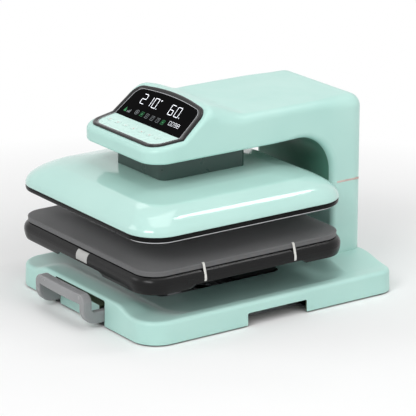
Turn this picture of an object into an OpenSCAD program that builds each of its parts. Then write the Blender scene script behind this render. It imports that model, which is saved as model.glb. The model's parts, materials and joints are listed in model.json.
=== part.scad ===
// Automatic heat press: a C-frame press whose heated platen comes down on a motor-driven
// screw, over a padded tray that pulls forward like a drawer.
// Inside the modules Y runs from the base's front face to its rear, and Z from the table.

/* [Base] */
// Width of the base over its skirt
base_w = 402; // [396:1:410]
// Depth of the base from front face to rear face
base_d = 491; // [488:1:496]
// Plan radius of the base's front corners
base_corner_r = 44; // [40:1:48]
// Plan radius of the base's rear corners
base_rear_r = 30; // [26:1:34]
// Height of the skirt's lower edge above the table
skirt_lift = 2; // [1:0.5:2.5]
// Height of the side rim above the table
rim_z = 40; // [39:0.5:42]
// Extra height of the front hump behind the handle
hump_rise = 10; // [8:0.5:12]
// Extra height of the rear deck round the column
deck_rise = 12; // [10:0.5:13]
// Depth of the dish below the rim
dish_depth = 11; // [9:0.5:12]
// Wall of the moulded covers
skin_t = 3; // [2.6:0.1:3.2]

/* [Platens] */
// Width of the heated platen and of the tray under it
platen_w = 400; // [396:1:404]
// Depth of the heated platen and of the tray
platen_d = 398; // [394:1:400]
// How far the platens stand out in front of the base
platen_overhang = 2; // [0:0.5:4]
// Plan radius of the platen cover's corners
platen_corner_r = 55; // [48:1:60]
// Underside of the heated plate when the press is open
plate_z = 166.5; // [165:0.5:168]
// Plan radius of the tray's corners
tray_corner_r = 45; // [40:1:50]
// Lower edge of the tray's skirt
tray_z = 84; // [83:0.5:86]
// Top face of the tray
tray_top_z = 111.5; // [111:0.5:112]
// Thickness of the pressing pad
pad_t = 10; // [8:0.5:11]
// Closing stroke of the platen
press_stroke = 43.5; // [42:0.5:43.5]

/* [Arm] */
// Width of the arm and of the column
arm_w = 218; // [214:1:222]
// Front of the control head, behind the base's front face
arm_front = 69; // [67:1:71]
// Underside of the arm
arm_z = 261.5; // [260:0.5:262]
// Top of the arm behind the hood
arm_top_z = 318; // [317:0.5:320]
// Height of the hood over the arm
hood_rise = 20.5; // [18:0.5:22]
// Front face of the column
column_front = 425; // [423:1:427]
// Radius of the bend between the arm and the column
bend_r = 67; // [62:1:70]
// Height of the seam between column and arm covers
seam_z = 177; // [175:0.5:179]

/* [Control panel] */
// Slope of the key panel, degrees
key_tilt = 7; // [5:0.5:9]
// Slope of the display, degrees
display_tilt = 39.5; // [38:0.5:41]
// Distance between keys
key_pitch = 23; // [21:0.5:24]
// Travel of a key
key_travel = 0.5; // [0.3:0.1:0.6]

/* [Drive] */
// Diameter of the press screw
screw_d = 16; // [14:1:18]
// Module of the gear pair
gear_module = 1.25; // [1.2:0.01:1.27]
// Teeth on the nut's gear
gear_teeth = 45; // [45:1:45]
// Teeth on the motor's pinion
pinion_teeth = 15; // [15:1:15]

/* [Drawer] */
// How far the tray pulls out
drawer_travel = 140; // [100:1:140]
// How far the handle stands out in front of the base
handle_reach = 40; // [38:1:42]
// Width of the handle over its legs
handle_w = 146; // [140:1:148]

/* [Hidden] */
$fn = 64;

mint = [0.73, 0.89, 0.84];
mint_pale = [0.84, 0.95, 0.92];
graphite = [0.16, 0.17, 0.17];
handle_grey = [0.56, 0.57, 0.58];
pad_grey = [0.33, 0.34, 0.35];
neck_green = [0.22, 0.28, 0.26];
steel = [0.66, 0.68, 0.70];
bright = [0.82, 0.83, 0.84];
bronze = [0.72, 0.53, 0.30];
board_green = [0.10, 0.36, 0.22];

// The rear fittings stand this far behind the base, and the origin is at the middle of the whole depth
rear_proud = 1.5;
front_y = -(base_d + rear_proud - handle_reach) / 2;

// Base
edge_r = 7;
draft = 0.8;
rim_flat = 16;
dish_side = 32;
dish_front = 70;
dish_rear = 30;
deck_d = 80;
dish_z = rim_z - dish_depth;
hump_half = 106;
hump_fade = 42;
hump_back = 95;
deck_fade = 70;
slot_half = 73;
slot_rear = 348;
plate_t = 2;
plate_bottom = skirt_lift + 1;
plate_top = plate_bottom + plate_t;
boss_x = base_w / 2 - 12;
boss_y = [90, 345, 440];
notch_y = [190, 306];
notch_h = 21;
notch_r = 3;
slot_reach = 8;
slot_top = 31;
pocket_z = [33.5, 45];
pocket_back = 14;

// Platens
platen_hx = platen_w / 2;
platen_y0 = -platen_overhang;
platen_y1 = platen_y0 + platen_d;
platen_yc = (platen_y0 + platen_y1) / 2;
rim_low_z = plate_z + 2.5;
cover_z = plate_z + 11;
plate_hx = platen_hx - 6;
plate_step_z = plate_z + 7.9;
plate_top_z = plate_z + 13.5;
strongback_z = plate_z + 29.5;
strongback_t = 6;
strongback_half = 130;
neck_hx = 70;
neck_hy = 82;
neck_r = 13;
neck_t = 3;
neck_top_z = 283;
sleeve_gap = 1;
sleeve_hx = neck_hx - neck_t - sleeve_gap;
sleeve_hy = neck_hy - neck_t - sleeve_gap;
sleeve_r = neck_r - neck_t - sleeve_gap;
sleeve_t = 2.5;
sleeve_z = neck_top_z - press_stroke - 17.5;
pad_plate_t = 1;
pad_z = tray_top_z + pad_plate_t;
pad_inset = 6.5;

// Drive, hung inside the neck
drive_z = 232;
drive_t = 6;
bearing_r = 20;
nut_r = 13;
nut_top_z = drive_z + drive_t + 8;
screw_top_z = nut_top_z + press_stroke + 9.5;
gear_z = 216.5;
gear_t = 10;
gear_gap = 0.15;
gear_angle = 135;
centre_distance = gear_module * (gear_teeth + pinion_teeth) / 2 + gear_gap;
pinion_at = centre_distance * [cos(gear_angle), sin(gear_angle)];
motor_shaft_r = 3;
guide_at = [48, 57];
guide_r = 6;
bush_r = 9;
hanger_at = [52, 24];
hanger_r = 5;
beam_z = 306;
beam_t = 4;
beam_front = 168;
beam_low_z = 280;
frame_hx = 88;
frame_y = 434;
frame_web_y = 480;
fit = 0.05;

// Arm
arm_hx = arm_w / 2;
arm_front_r = 38;
arm_rear_r = 24;
arm_edge_r = 13;
head_edge_r = 8;
hood_edge_r = 28;
rear_edge_r = 22;
knee_y = 133;
knee_z = 294;
hood_y = [190, 262];
bend_y = column_front - bend_r;
bend_z = arm_z - bend_r;
column_front_r = 9;
column_z = rim_z + 6;
strip_y = [434, 479];
strip_h = 3.2;
strip_depth = 1.2;

// Control panel, in the planes of the keys and of the display
bezel_t = 3.4;
bezel_seat = 1.3;
bezel_gap = 0.15;
panel_front = 54;
panel_top = 65.5;
panel_front_hx = 98;
panel_knee_hx = 103;
panel_top_hx = 100;
panel_front_r = 26;
panel_top_r = 24;
panel_arch = 6.5;
window_front = 46;
window_top = 58.5;
window_front_hx = 89.5;
window_knee_hx = 93;
window_top_hx = 89.5;
window_front_r = 21;
window_top_r = 17;
window_arch = 4.5;
panel_gap = 0.4;
panel_face = 1.8;
key_x0 = -4.5;
key_y = -23.5;
key_size = [13, 8.5];
key_gap = 0.35;
key_proud = 0.7;
board_t = 1.6;
key_board_depth = 6.2;
collar_t = 1.2;
collar_low = bezel_seat + 0.3 + collar_t;
stem_low = key_board_depth - board_t - key_travel - 0.4;
display_board_depth = 7;

// Drawer
carriage_z = 10;
carriage_t = 3;
carriage_y = [150, 400];
rail_y = [8, 405];
bar_half = 5;
leg_x = handle_w / 2 - 6.5;
pedestal_hx = 70;
pedestal_y = [250, 345];
slot_front = pedestal_y[0] - drawer_travel - 3;
support_t = 6;
support_top = tray_top_z - skin_t;

// Power board and fittings at the column's rear
control_z = 172;
inlet_at = [-48, 92];
rocker_at = [48, 92];
rocker_tilt = 9;

// Rises smoothly from 0 at a to 1 at b
function ease(a, b, t) = let (u = min(1, max(0, (t - a) / (b - a)))) u * u * (3 - 2 * u);

// How far a rounded edge of radius r lies below its flat, at a distance i in from the side
function edge_drop(i, r) = i >= r ? 0 : r - sqrt(r * r - (r - i) * (r - i));

// One quarter turn of a corner, without its last point
function corner(cx, cy, r, from, n) =
    [for (k = [0:n - 1]) [cx + r * cos(from + 90 * k / n), cy + r * sin(from + 90 * k / n)]];

// Outline of a rounded rectangle, anticlockwise from its front left: r and rb are its front and rear
// radii, with nc points to a corner and nx and ny along its sides
function outline(hx, y0, y1, r, rb, nc, nx = 1, ny = 1) = concat(
    [for (k = [0:nx - 1]) [(hx - r) * (2 * k / nx - 1), y0]],
    corner(hx - r, y0 + r, r, -90, nc),
    [for (k = [0:ny - 1]) [hx, y0 + r + (y1 - y0 - r - rb) * k / ny]],
    corner(hx - rb, y1 - rb, rb, 0, nc),
    [for (k = [0:nx - 1]) [(hx - rb) * (1 - 2 * k / nx), y1]],
    corner(rb - hx, y1 - rb, rb, 90, nc),
    [for (k = [0:ny - 1]) [-hx, y1 - rb - (y1 - y0 - r - rb) * k / ny]],
    corner(r - hx, y0 + r, r, 180, nc)
);

// A flat outline at height z
function level(points, z) = [for (p = points) [p[0], p[1], z]];

// Two triangles for each step between ring a and ring b of n points
function band(n, a, b) =
    [for (k = [0:n - 1]) let (m = (k + 1) % n) each [[a + k, b + m, a + m], [a + k, b + k, b + m]]];

function bands(n, count) = [for (r = [0:count - 2]) each band(n, r * n, (r + 1) * n)];

function flat(rings) = [for (r = rings) each r];

// A skin over rings of equal length that closes on itself, as round an opening
module closed_skin(rings) {
    n = len(rings[0]);
    count = len(rings);
    polyhedron(flat(rings), concat(bands(n, count), band(n, (count - 1) * n, 0)));
}

// A skin over rings with a flat lid on the first and last
module capped_skin(rings) {
    n = len(rings[0]);
    count = len(rings);
    first = [for (k = [0:n - 1]) k];
    last = [for (k = [n - 1:-1:0]) (count - 1) * n + k];
    polyhedron(flat(rings), concat([first], bands(n, count), [last]));
}

// From the base's front face and the table to the part's own frame
module in_frame() translate([0, front_y, 0]) children();

// Profile in X and Z, drawn out along Y
module along_y(y0, y1) translate([0, y1, 0]) rotate([90, 0, 0]) linear_extrude(y1 - y0) children();

// Profile in Y and Z, drawn out along X
module along_x(x0, x1) translate([x0, 0, 0]) rotate([90, 0, 90]) linear_extrude(x1 - x0) children();

module from_z(z0, z1) translate([0, 0, z0]) linear_extrude(z1 - z0) children();

module both_sides() {
    children();
    mirror([1, 0, 0]) children();
}

// Rounded rectangle with one radius at the front and another at the rear
module rounded(hx, y0, y1, rf, rb) {
    translate([-hx, y0 + rf]) square([2 * hx, y1 - rb - y0 - rf]);
    translate([rf - hx, y0]) square([2 * (hx - rf), y1 - rb - y0]);
    translate([rb - hx, y0 + rf]) square([2 * (hx - rb), y1 - y0 - rf]);
    for (s = [-1, 1]) {
        translate([s * (hx - rf), y0 + rf]) circle(rf);
        translate([s * (hx - rb), y1 - rb]) circle(rb);
    }
}

module slab(hx, hy, r) translate([0, platen_yc]) rounded(hx, -hy, hy, r, r);

module at_corners(at) {
    for (sx = [-1, 1], sy = [-1, 1]) translate([sx * at[0], platen_yc + sy * at[1]]) children();
}

// Base: shares of the front hump and of the rear deck at a point
function hump_share(p) =
    (1 - ease(hump_half, hump_half + hump_fade, abs(p[0]))) * (1 - ease(hump_back - 75, hump_back, p[1]));
function deck_share(p) =
    (1 - ease(arm_hx + 2, arm_hx + deck_fade, abs(p[0])))
    * ease(base_d - deck_d - 28, base_d - deck_d + 4, p[1]);

// A ring of the base pan: its insets, front and rear radii, height and share of hump and deck
function pan_ring(side, front, rear, r, rb, z, lift) =
    [for (p = outline(base_w / 2 - side, front, base_d - rear, r, rb, 7, 16, 5))
        [p[0], p[1], z + lift * (hump_rise * hump_share(p) + deck_rise * deck_share(p))]];

function even_ring(i, z, lift) = pan_ring(i, i, i, base_corner_r - i, base_rear_r - i, z, lift);

// A ring of the dish, from the rim at t = 0 to the edge of its floor at t = 1
function dish_ring(t, drop) = pan_ring(rim_flat + dish_side * t, rim_flat + dish_front * t,
    deck_d + dish_rear * t, base_corner_r - rim_flat + 18 * t, base_rear_r - rim_flat + 32 * t,
    rim_z - dish_depth * ease(0, 1, t) - drop, 1 - ease(0, 1, t));

function slot_ring(z) =
    pan_ring(base_w / 2 - slot_half, slot_front, base_d - slot_rear, 14, 14, z, 0);

module base_pan() color(mint) in_frame() difference() {
    union() {
        closed_skin(concat(
            [even_ring(0, skirt_lift, 0), even_ring(draft, rim_z - edge_r, 1)],
            [for (a = [30:30:90])
                even_ring(draft + edge_r * (1 - cos(a)), rim_z - edge_r * (1 - sin(a)), 1)],
            [for (t = [0:0.2:1]) dish_ring(t, 0)],
            [slot_ring(dish_z), slot_ring(dish_z - skin_t)],
            [for (t = [1, 0.7, 0.4, 0]) dish_ring(t, skin_t)],
            [even_ring(skin_t + 2, rim_z - skin_t, 1), even_ring(skin_t + draft, rim_z - edge_r, 1)],
            [even_ring(skin_t, skirt_lift, 0)]
        ));
        for (y = boss_y) both_sides() translate([boss_x, y, plate_top])
            cylinder(h = rim_z - skin_t / 2 - plate_top, r = 4.5);
        pocket_block();
    }
    for (y = boss_y) both_sides() translate([boss_x, y, 0]) cylinder(h = 18, r = 2);
    handle_opening();
    both_sides() finger_notch();
    from_z(column_z, rim_z + 40) column_outline(-0.3);
}

// Solid that the finger pocket behind the handle's bar is cut from
module pocket_block() translate([-leg_x - slot_reach - skin_t, skin_t - 0.4, slot_top])
    cube([2 * (leg_x + slot_reach + skin_t), pocket_back + skin_t - 2.6,
        rim_z + hump_rise - skin_t - slot_top - 0.6]);

// Opening in the front wall: the finger pocket, and two slots under it for the legs
module handle_opening() along_y(-5, pocket_back) {
    translate([0, pocket_z[0]]) mirror([0, 1]) rounded_bar(leg_x + slot_reach, pocket_z[0] - pocket_z[1], 4);
    both_sides() translate([leg_x - slot_reach, -1]) square([2 * slot_reach, pocket_z[0] + 2]);
}

// Bar from z = 0 down to z = h, with its lower corners rounded
module rounded_bar(hx, h, r) {
    translate([-hx, h + r]) square([2 * hx, -h - r]);
    translate([r - hx, h]) square([2 * (hx - r), -h]);
    for (s = [-1, 1]) translate([s * (hx - r), h + r]) circle(r);
}

// Finger hold at the bottom of a side wall
module finger_notch() along_x(base_w / 2 - 12, base_w / 2 + 5) hull() {
    translate([notch_y[0], -1]) square([notch_y[1] - notch_y[0], 1]);
    for (y = [notch_y[0] + notch_r, notch_y[1] - notch_r])
        translate([y, skirt_lift + notch_h - notch_r]) circle(notch_r);
}

module bottom_plate() color(steel) in_frame() from_z(plate_bottom, plate_top) difference() {
    rounded(base_w / 2 - 6.5, 6.5, base_d - 6.5, base_corner_r - 6.5, base_rear_r - 6.5);
    both_sides() translate([base_w / 2 - 38, notch_y[0] - 10]) square([40, notch_y[1] - notch_y[0] + 20]);
    for (y = boss_y) both_sides() translate([boss_x, y]) circle(2.3);
}

module rubber_feet() color(graphite) in_frame()
    for (x = [-1, 1], y = [34, base_d - 34]) translate([x * 158, y, 0])
        rotate_extrude() polygon([[0, 0], [10.5, 0], [12, 1], [12, plate_bottom], [0, plate_bottom]]);

module base_screws() color(bright) in_frame()
    for (y = boss_y) both_sides() translate([boss_x, y, 0]) {
        translate([0, 0, plate_bottom - 1.8]) cylinder(h = 1.8, r = 4);
        translate([0, 0, plate_bottom - 0.5]) cylinder(h = 14, r = 1.95);
    }

// Fixed channels of the drawer, open towards the middle
module slide_rails_outer() color(steel) in_frame() both_sides() along_y(rail_y[0], rail_y[1]) difference() {
    translate([89, plate_top]) square([16, 17]);
    translate([91, plate_top + 1.5]) square([12.5, 14]);
    translate([88, plate_top + 4.5]) square([4, 8]);
}

module column_outline(inset) rounded(arm_hx - inset, column_front + inset, base_d - inset,
    column_front_r - inset, arm_rear_r - inset);

// Steel channel that stands on the bottom plate inside the column
module column_frame() color(steel) in_frame() {
    difference() {
        from_z(plate_top + 5, beam_z) difference() {
            translate([-frame_hx, frame_y]) square([2 * frame_hx, frame_web_y + beam_t - frame_y]);
            translate([beam_t - frame_hx, frame_y - 1])
                square([2 * (frame_hx - beam_t), frame_web_y - frame_y + 1]);
        }
        web_hole(inlet_at, [36, 30]);
        web_hole(rocker_at, [28, 24]);
    }
    from_z(plate_top, plate_top + 5) difference() {
        translate([-98, 431]) square([196, 54]);
        for (x = [-70, -35, 35, 70]) translate([x, 456]) circle(4.2);
    }
}

module web_hole(at, size) along_y(frame_web_y - 2, frame_web_y + beam_t + 2)
    translate([at[0] - size[0] / 2, at[1] - size[1] / 2]) square(size);

// Inverted channel from the column to the drive
module arm_beam() color(steel) in_frame() difference() {
    along_y(beam_front, frame_web_y - beam_t) difference() {
        translate([-frame_hx - beam_t, beam_low_z])
            square([2 * (frame_hx + beam_t), beam_z + beam_t - beam_low_z]);
        translate([-frame_hx, beam_low_z - 1]) square([2 * frame_hx, beam_z - beam_low_z + 1]);
    }
    translate([0, platen_yc, beam_z - 1]) cylinder(h = beam_t + 2, r = 12);
    for (x = [-50, 0, 50], y = [300, 360, 420]) translate([x, y, beam_z - 1])
        cylinder(h = beam_t + 2, r = 14);
}

module column_cover() color(mint) in_frame() difference() {
    from_z(column_z, seam_z) difference() {
        column_outline(0);
        column_outline(skin_t);
    }
    both_sides() translate([arm_hx - strip_depth, strip_y[0], seam_z - strip_h])
        cube([strip_depth + 1, strip_y[1] - strip_y[0], strip_h + 1]);
    rear_hole(inlet_at, [27, 20]);
    rear_hole(rocker_at, [19, 13]);
    for (x = [-50:10:50]) along_y(base_d - 8, base_d + 2) translate([x - 1.5, 128]) vent_slot();
}

module vent_slot() {
    translate([0, 1.5]) square([3, 27]);
    for (z = [1.5, 28.5]) translate([1.5, z]) circle(1.5);
}

module rear_hole(at, size) along_y(base_d - 8, base_d + 2)
    translate([at[0] - size[0] / 2, at[1] - size[1] / 2]) square(size);

module seam_strips() color([0.78, 0.70, 0.67]) in_frame() both_sides()
    translate([arm_hx - strip_depth, strip_y[0] + 0.1, seam_z - strip_h])
        cube([strip_depth + 0.2, strip_y[1] - strip_y[0] - 0.2, strip_h]);

// Height of the head, hood and arm along the middle
function arm_profile(y) = min(
    y < knee_y ? knee_z - (knee_y - y) * tan(key_tilt) : knee_z + (y - knee_y) * tan(display_tilt),
    arm_top_z + hood_rise * (1 - ease(hood_y[0], hood_y[1], y)));

// Radius of the arm's upper edges: small round the head, larger behind the hood and at the rear
function arm_edge(y) = head_edge_r + (arm_edge_r - head_edge_r) * ease(168, 205, y)
    + (hood_edge_r - arm_edge_r) * ease(168, 205, y) * (1 - ease(215, 275, y))
    + (rear_edge_r - arm_edge_r) * ease(390, 465, y);

// Lower edge of the arm cover's side walls, round the bend and down to the seam
function arm_lower(y) = y <= bend_y ? arm_z
    : y > column_front ? seam_z
    : bend_z + sqrt(max(0, bend_r * bend_r - (y - bend_y) * (y - bend_y)));

ridge_y = knee_y + (arm_top_z + hood_rise - knee_z) / tan(display_tilt);
arm_stations = concat(
    [knee_y - 14, knee_y - 7, knee_y], [for (k = [1:5]) knee_y + (ridge_y - knee_y) * k / 5],
    [for (y = [hood_y[0] + 4:7.5:hood_y[1] + 5]) y], [300, 335, bend_y],
    [for (a = [15:15:90]) bend_y + bend_r * sin(a)], [column_front + 0.1, 442]
);

// Right half of the arm's plan at an inset, from the middle of the front to the rear
function arm_half(i) = let (
    rf = arm_front_r - i, rb = max(1, arm_rear_r - i),
    bx = arm_hx - i - rb, by = base_d - i - rb
) concat(
    [for (k = [0:8]) let (a = -90 + 90 * k / 8)
        [arm_hx - arm_front_r + rf * cos(a), arm_front + arm_front_r + rf * sin(a)]],
    [for (y = arm_stations) [arm_hx - i, y]],
    [for (k = [0:5]) [bx + rb * cos(18 * k), by + rb * sin(18 * k)]]
);

function whole(half) = concat(half, [for (k = [len(half) - 1:-1:0]) [-half[k][0], half[k][1], half[k][2]]]);

function arm_ring(i, drop, r_less) = whole([for (p = arm_half(i))
    [p[0], p[1], arm_profile(p[1]) - drop - edge_drop(i - drop, arm_edge(p[1]) - r_less)]]);

function arm_hem(i) = whole([for (p = arm_half(i)) [p[0], p[1], arm_lower(p[1])]]);

// Strips across the middle that close the first or last ring
function bridge(n, start, up) = [for (k = [0:n / 2 - 2])
    let (a = start + k, b = start + k + 1, c = start + n - 2 - k, d = start + n - 1 - k)
        each up ? [[a, c, b], [a, d, c]] : [[a, b, c], [a, c, d]]];

module arm_shell() {
    rings = concat(
        [for (i = [36, 24, 13, 6, skin_t]) arm_ring(i, skin_t, skin_t)],
        [arm_hem(skin_t), arm_hem(0)],
        [for (i = [0, 1.2, 3.5, 7, 13, 20, 28, 36]) arm_ring(i, 0, 0)]
    );
    n = len(rings[0]);
    polyhedron(flat(rings), concat(
        bridge(n, 0, false), bands(n, len(rings)), bridge(n, (len(rings) - 1) * n, true)));
}

module arm_cover() color(mint) in_frame() difference() {
    arm_shell();
    panel_opening();
    on_keys() translate([0, 0, -bezel_seat]) linear_extrude(20) key_outline(bezel_gap);
    on_display() translate([0, 0, -bezel_seat]) linear_extrude(20) display_outline(bezel_gap);
}

// Room under the bezel, straight down through the hood
module panel_opening() from_z(270, 360) polygon([
    [7 - window_front_hx, knee_y - window_front + 1], [window_front_hx - 7, knee_y - window_front + 1],
    [window_knee_hx - 3, knee_y - 20], [window_knee_hx - 3, knee_y], [window_top_hx - 3, knee_y + 42],
    [3 - window_top_hx, knee_y + 42], [3 - window_knee_hx, knee_y], [3 - window_knee_hx, knee_y - 20]
]);

// Underside of the arm with the bend down to the column
module arm_bottom_cover() color(mint) in_frame() difference() {
    intersection() {
        along_x(-arm_hx, arm_hx) {
            translate([arm_front, arm_z]) square([bend_y - arm_front, 2.5]);
            intersection() {
                translate([bend_y, bend_z]) difference() {
                    circle(bend_r + 2.5);
                    circle(bend_r);
                }
                translate([bend_y, bend_z]) square([100, 100]);
            }
            translate([column_front, seam_z]) square([2.5, bend_z - seam_z]);
        }
        from_z(seam_z - 5, arm_z + 10)
            rounded(arm_hx - skin_t, arm_front + skin_t, base_d, arm_front_r - skin_t + 1, 5);
    }
    from_z(arm_z - 1, arm_z + 5) slab(neck_hx + 1.5, neck_hy + 1.5, neck_r + 1.5);
}

// Planes of the keys and of the display, with local Y up the slope from the knee
module on_keys() translate([0, knee_y, knee_z]) rotate([key_tilt, 0, 0]) children();
module on_display() translate([0, knee_y, knee_z]) rotate([display_tilt, 0, 0]) children();

// Outline of one plane's panel, from the knee to its rounded or arched end
module panel_end(knee_hx, end_hx, reach, r, inset, arch = 0) hull() {
    translate([inset - knee_hx, min(0, sign(reach))]) square([2 * (knee_hx - inset), 1]);
    for (s = [-1, 1]) translate([s * (end_hx - r), reach - sign(reach) * r]) circle(r - inset, $fn = 48);
    if (arch > 0) polygon([for (k = [-6:6])
        [(end_hx - r) * k / 6, reach - inset + arch * (1 - k * k / 36)]]);
}

module key_outline(grow) panel_end(panel_knee_hx, panel_front_hx, -panel_front, panel_front_r, -grow);
module display_outline(grow)
    panel_end(panel_knee_hx, panel_top_hx, panel_top, panel_top_r, -grow, panel_arch);
module key_window(inset) panel_end(window_knee_hx, window_front_hx, -window_front, window_front_r, inset);
module display_window(inset)
    panel_end(window_knee_hx, window_top_hx, window_top, window_top_r, inset, window_arch);

// Frame round the keys and the display, bent at the knee
module panel_bezel() color(graphite) in_frame() {
    on_keys() translate([0, 0, -bezel_seat]) linear_extrude(bezel_t + bezel_seat) difference() {
        key_outline(0);
        key_window(0);
    }
    on_display() translate([0, 0, -bezel_seat]) linear_extrude(bezel_t + bezel_seat) difference() {
        display_outline(0);
        display_window(0);
    }
}

module display_glass() color([0.03, 0.03, 0.035]) in_frame()
    on_display() translate([0, 0, -bezel_seat]) linear_extrude(bezel_seat + panel_face) intersection() {
        display_window(panel_gap);
        translate([-200, 1.5]) square([400, 200]);
    }

module display_board() color(board_green) in_frame() on_display() translate([0, 0, -display_board_depth]) {
    translate([-72, 8, 0]) cube([144, 38, board_t]);
    translate([-60, 12, board_t]) cube([120, 30, display_board_depth - board_t - bezel_seat]);
}

module stadium(size) {
    square([size[0] - size[1], size[1]], center = true);
    for (s = [-1, 1]) translate([s * (size[0] - size[1]) / 2, 0]) circle(size[1] / 2);
}

module key_places() for (k = [-3:3]) translate([key_x0 + k * key_pitch, key_y]) children();

// Overlay with openings for the keys, and two posts that carry their board
module key_panel() color(mint_pale) in_frame() on_keys() {
    translate([0, 0, -bezel_seat]) linear_extrude(bezel_seat + panel_face) difference() {
        intersection() {
            key_window(panel_gap);
            translate([-200, -200]) square([400, 199]);
        }
        key_places() stadium(key_size + [1, 1] * 2 * key_gap);
    }
    key_posts() translate([0, 0, board_t - key_board_depth])
        cylinder(h = key_board_depth - board_t - bezel_seat + 0.5, r = 2.4);
}

module key_posts() for (s = [-1, 1]) translate([s * 62, -13.5, 0]) children();

module key_board() color(board_green) in_frame() on_keys() translate([0, 0, -key_board_depth]) difference() {
    translate([-82, -36, 0]) cube([164, 26, board_t]);
    key_posts() translate([0, 0, -1]) cylinder(h = board_t + 2, r = 1.2);
}

// A key cap with a collar under the panel, over its switch
module key_cap(k) color([0.97, 0.96, 0.95]) in_frame() on_keys()
    translate([key_x0 + (k - 4) * key_pitch, key_y, 0]) {
        translate([0, 0, -collar_low]) linear_extrude(collar_low + panel_face + key_proud) stadium(key_size);
        translate([0, 0, -collar_low]) linear_extrude(collar_t) stadium(key_size + [3, 3]);
        translate([0, 0, -stem_low]) cylinder(h = stem_low - collar_low + 0.2, r = 1.8);
    }

module key_1() key_cap(1);
module key_2() key_cap(2);
module key_3() key_cap(3);
module key_4() key_cap(4);
module key_5() key_cap(5);
module key_6() key_cap(6);
module key_7() key_cap(7);

// Power board on four posts from the column frame's web
module control_board() color(board_green) in_frame() translate([0, frame_web_y - 8, control_z]) {
    translate([-60, 0, 0]) cube([120, board_t, 95]);
    for (x = [-45, 45], z = [10, 80]) translate([x, 8, z]) rotate([90, 0, 0])
        cylinder(h = 8 - board_t, r = 3);
    translate([-50, -20, 12]) cube([36, 20, 30]);
    translate([5, -16, 10]) cube([22, 16, 16]);
    for (x = [-38, -20, 20, 38]) translate([x, 0, 68]) rotate([90, 0, 0]) cylinder(h = 18, r = 6);
}

// Power inlet and its switch, through the rear of the column cover
module power_inlet() color(graphite) in_frame() difference() {
    union() {
        along_y(base_d - 22, base_d) inlet_outline(26.6, 19.6);
        along_y(base_d, base_d + rear_proud) inlet_outline(32, 25);
    }
    along_y(base_d - 17, base_d + 5) difference() {
        inlet_outline(23.6, 16.4);
        for (p = [[-7, -1.5], [0, 1.5], [7, -1.5]])
            translate([inlet_at[0] + p[0] - 1, inlet_at[1] + p[1] - 2]) square([2, 4]);
    }
}

module inlet_outline(w, h) translate([inlet_at[0] - w / 2, inlet_at[1] - h / 2])
    polygon([[0, 0], [w, 0], [w, h - 4], [w - 4, h], [4, h], [0, h - 4]]);

module rocker_frame() color(graphite) in_frame() difference() {
    union() {
        rocker_block(-20, 0, [18.6, 12.6]);
        rocker_block(0, rear_proud, [23, 17]);
    }
    rocker_block(-12, 5, [14, 9.2]);
    translate([rocker_at[0] - 8.3, base_d - 3, rocker_at[1]]) rotate([0, 90, 0]) cylinder(h = 16.6, r = 1.3);
}

module rocker_block(y0, y1, size) along_y(base_d + y0, base_d + y1)
    translate([rocker_at[0] - size[0] / 2, rocker_at[1] - size[1] / 2]) square(size);

// Rocker on two trunnions, at rest with its upper end pressed in
module power_rocker() color([0.10, 0.10, 0.10]) in_frame()
    translate([rocker_at[0], base_d - 3, rocker_at[1]]) {
        rotate([0, 90, 0]) cylinder(h = 16, r = 1.25, center = true);
        rotate([rocker_tilt, 0, 0]) along_x(-6.6, 6.6)
            polygon([[-4, -1.8], [-4, 1.8], [3, 3.8], [2.1, 0], [3, -3.8]]);
    }

// Motor with a reduction gearbox, standing on the drive plate
module gear_motor() color(steel) in_frame()
    translate([pinion_at[0], platen_yc + pinion_at[1], drive_z + drive_t]) difference() {
        union() {
            cylinder(h = 22, r = 16);
            translate([0, 0, 22]) cylinder(h = 26, r = 15);
            translate([0, 0, 48]) cylinder(h = 3, r = 5);
        }
        translate([0, 0, -1]) cylinder(h = 16, r = motor_shaft_r + fit);
    }

module ring(z, h, r_out, r_in) translate([0, platen_yc, z]) difference() {
    cylinder(h = h, r = r_out);
    translate([0, 0, -1]) cylinder(h = h + 2, r = r_in);
}

// Thrust bearings above and below the drive plate
module thrust_bearings() color(bright) in_frame() {
    ring(drive_z - 5, 5, bearing_r, nut_r + fit);
    ring(drive_z + drive_t, 7, bearing_r, nut_r + fit);
}

module drive_plate() color(steel) in_frame() from_z(drive_z, drive_z + drive_t) difference() {
    slab(sleeve_hx - sleeve_t, sleeve_hy - sleeve_t, sleeve_r - sleeve_t);
    translate([0, platen_yc]) circle(nut_r + 2);
    translate([pinion_at[0], platen_yc + pinion_at[1]]) circle(motor_shaft_r + 1);
    at_corners(guide_at) circle(bush_r);
}

module guide_bushes() color(bronze) in_frame()
    at_corners(guide_at) translate([0, 0, drive_z - 8]) difference() {
        union() {
            cylinder(h = 16, r = bush_r);
            cylinder(h = 8, r = bush_r + 2);
        }
        translate([0, 0, -1]) cylinder(h = 20, r = guide_r + fit);
    }

module hanger_posts() color(steel) in_frame() at_corners(hanger_at)
    translate([0, 0, drive_z + drive_t]) cylinder(h = beam_z - drive_z - drive_t, r = hanger_r);

// Fixed sleeve round the drive plate, which closes the neck when the platen is down
module neck_sleeve() color(neck_green) in_frame() from_z(sleeve_z, arm_z + 2.5) difference() {
    slab(sleeve_hx, sleeve_hy, sleeve_r);
    slab(sleeve_hx - sleeve_t, sleeve_hy - sleeve_t, sleeve_r - sleeve_t);
}

// Platen cover: insets of its domed top and its rise over the lower edge, then the same inside
cover_section = [
    [0.4, 0], [0, 2], [0.6, 5], [2.2, 8.8], [5, 12.4], [9, 16], [14, 20], [20, 24.8], [30, 31],
    [43, 36.6], [58, 40.6], [76, 43.6]
];
cover_inner = [
    [76, 40.6], [58, 37.4], [43, 33.2], [30, 27.4], [21.5, 21.6], [11.5, 14], [5, 7], [3, 3.5], [3, 0]
];
plateau_z = cover_z + 44.5;

function platen_outline(i) = let (r = max(48, platen_corner_r - i))
    outline(platen_hx - i, platen_y0 + i, platen_y1 - i, r, r, 9);

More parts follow.
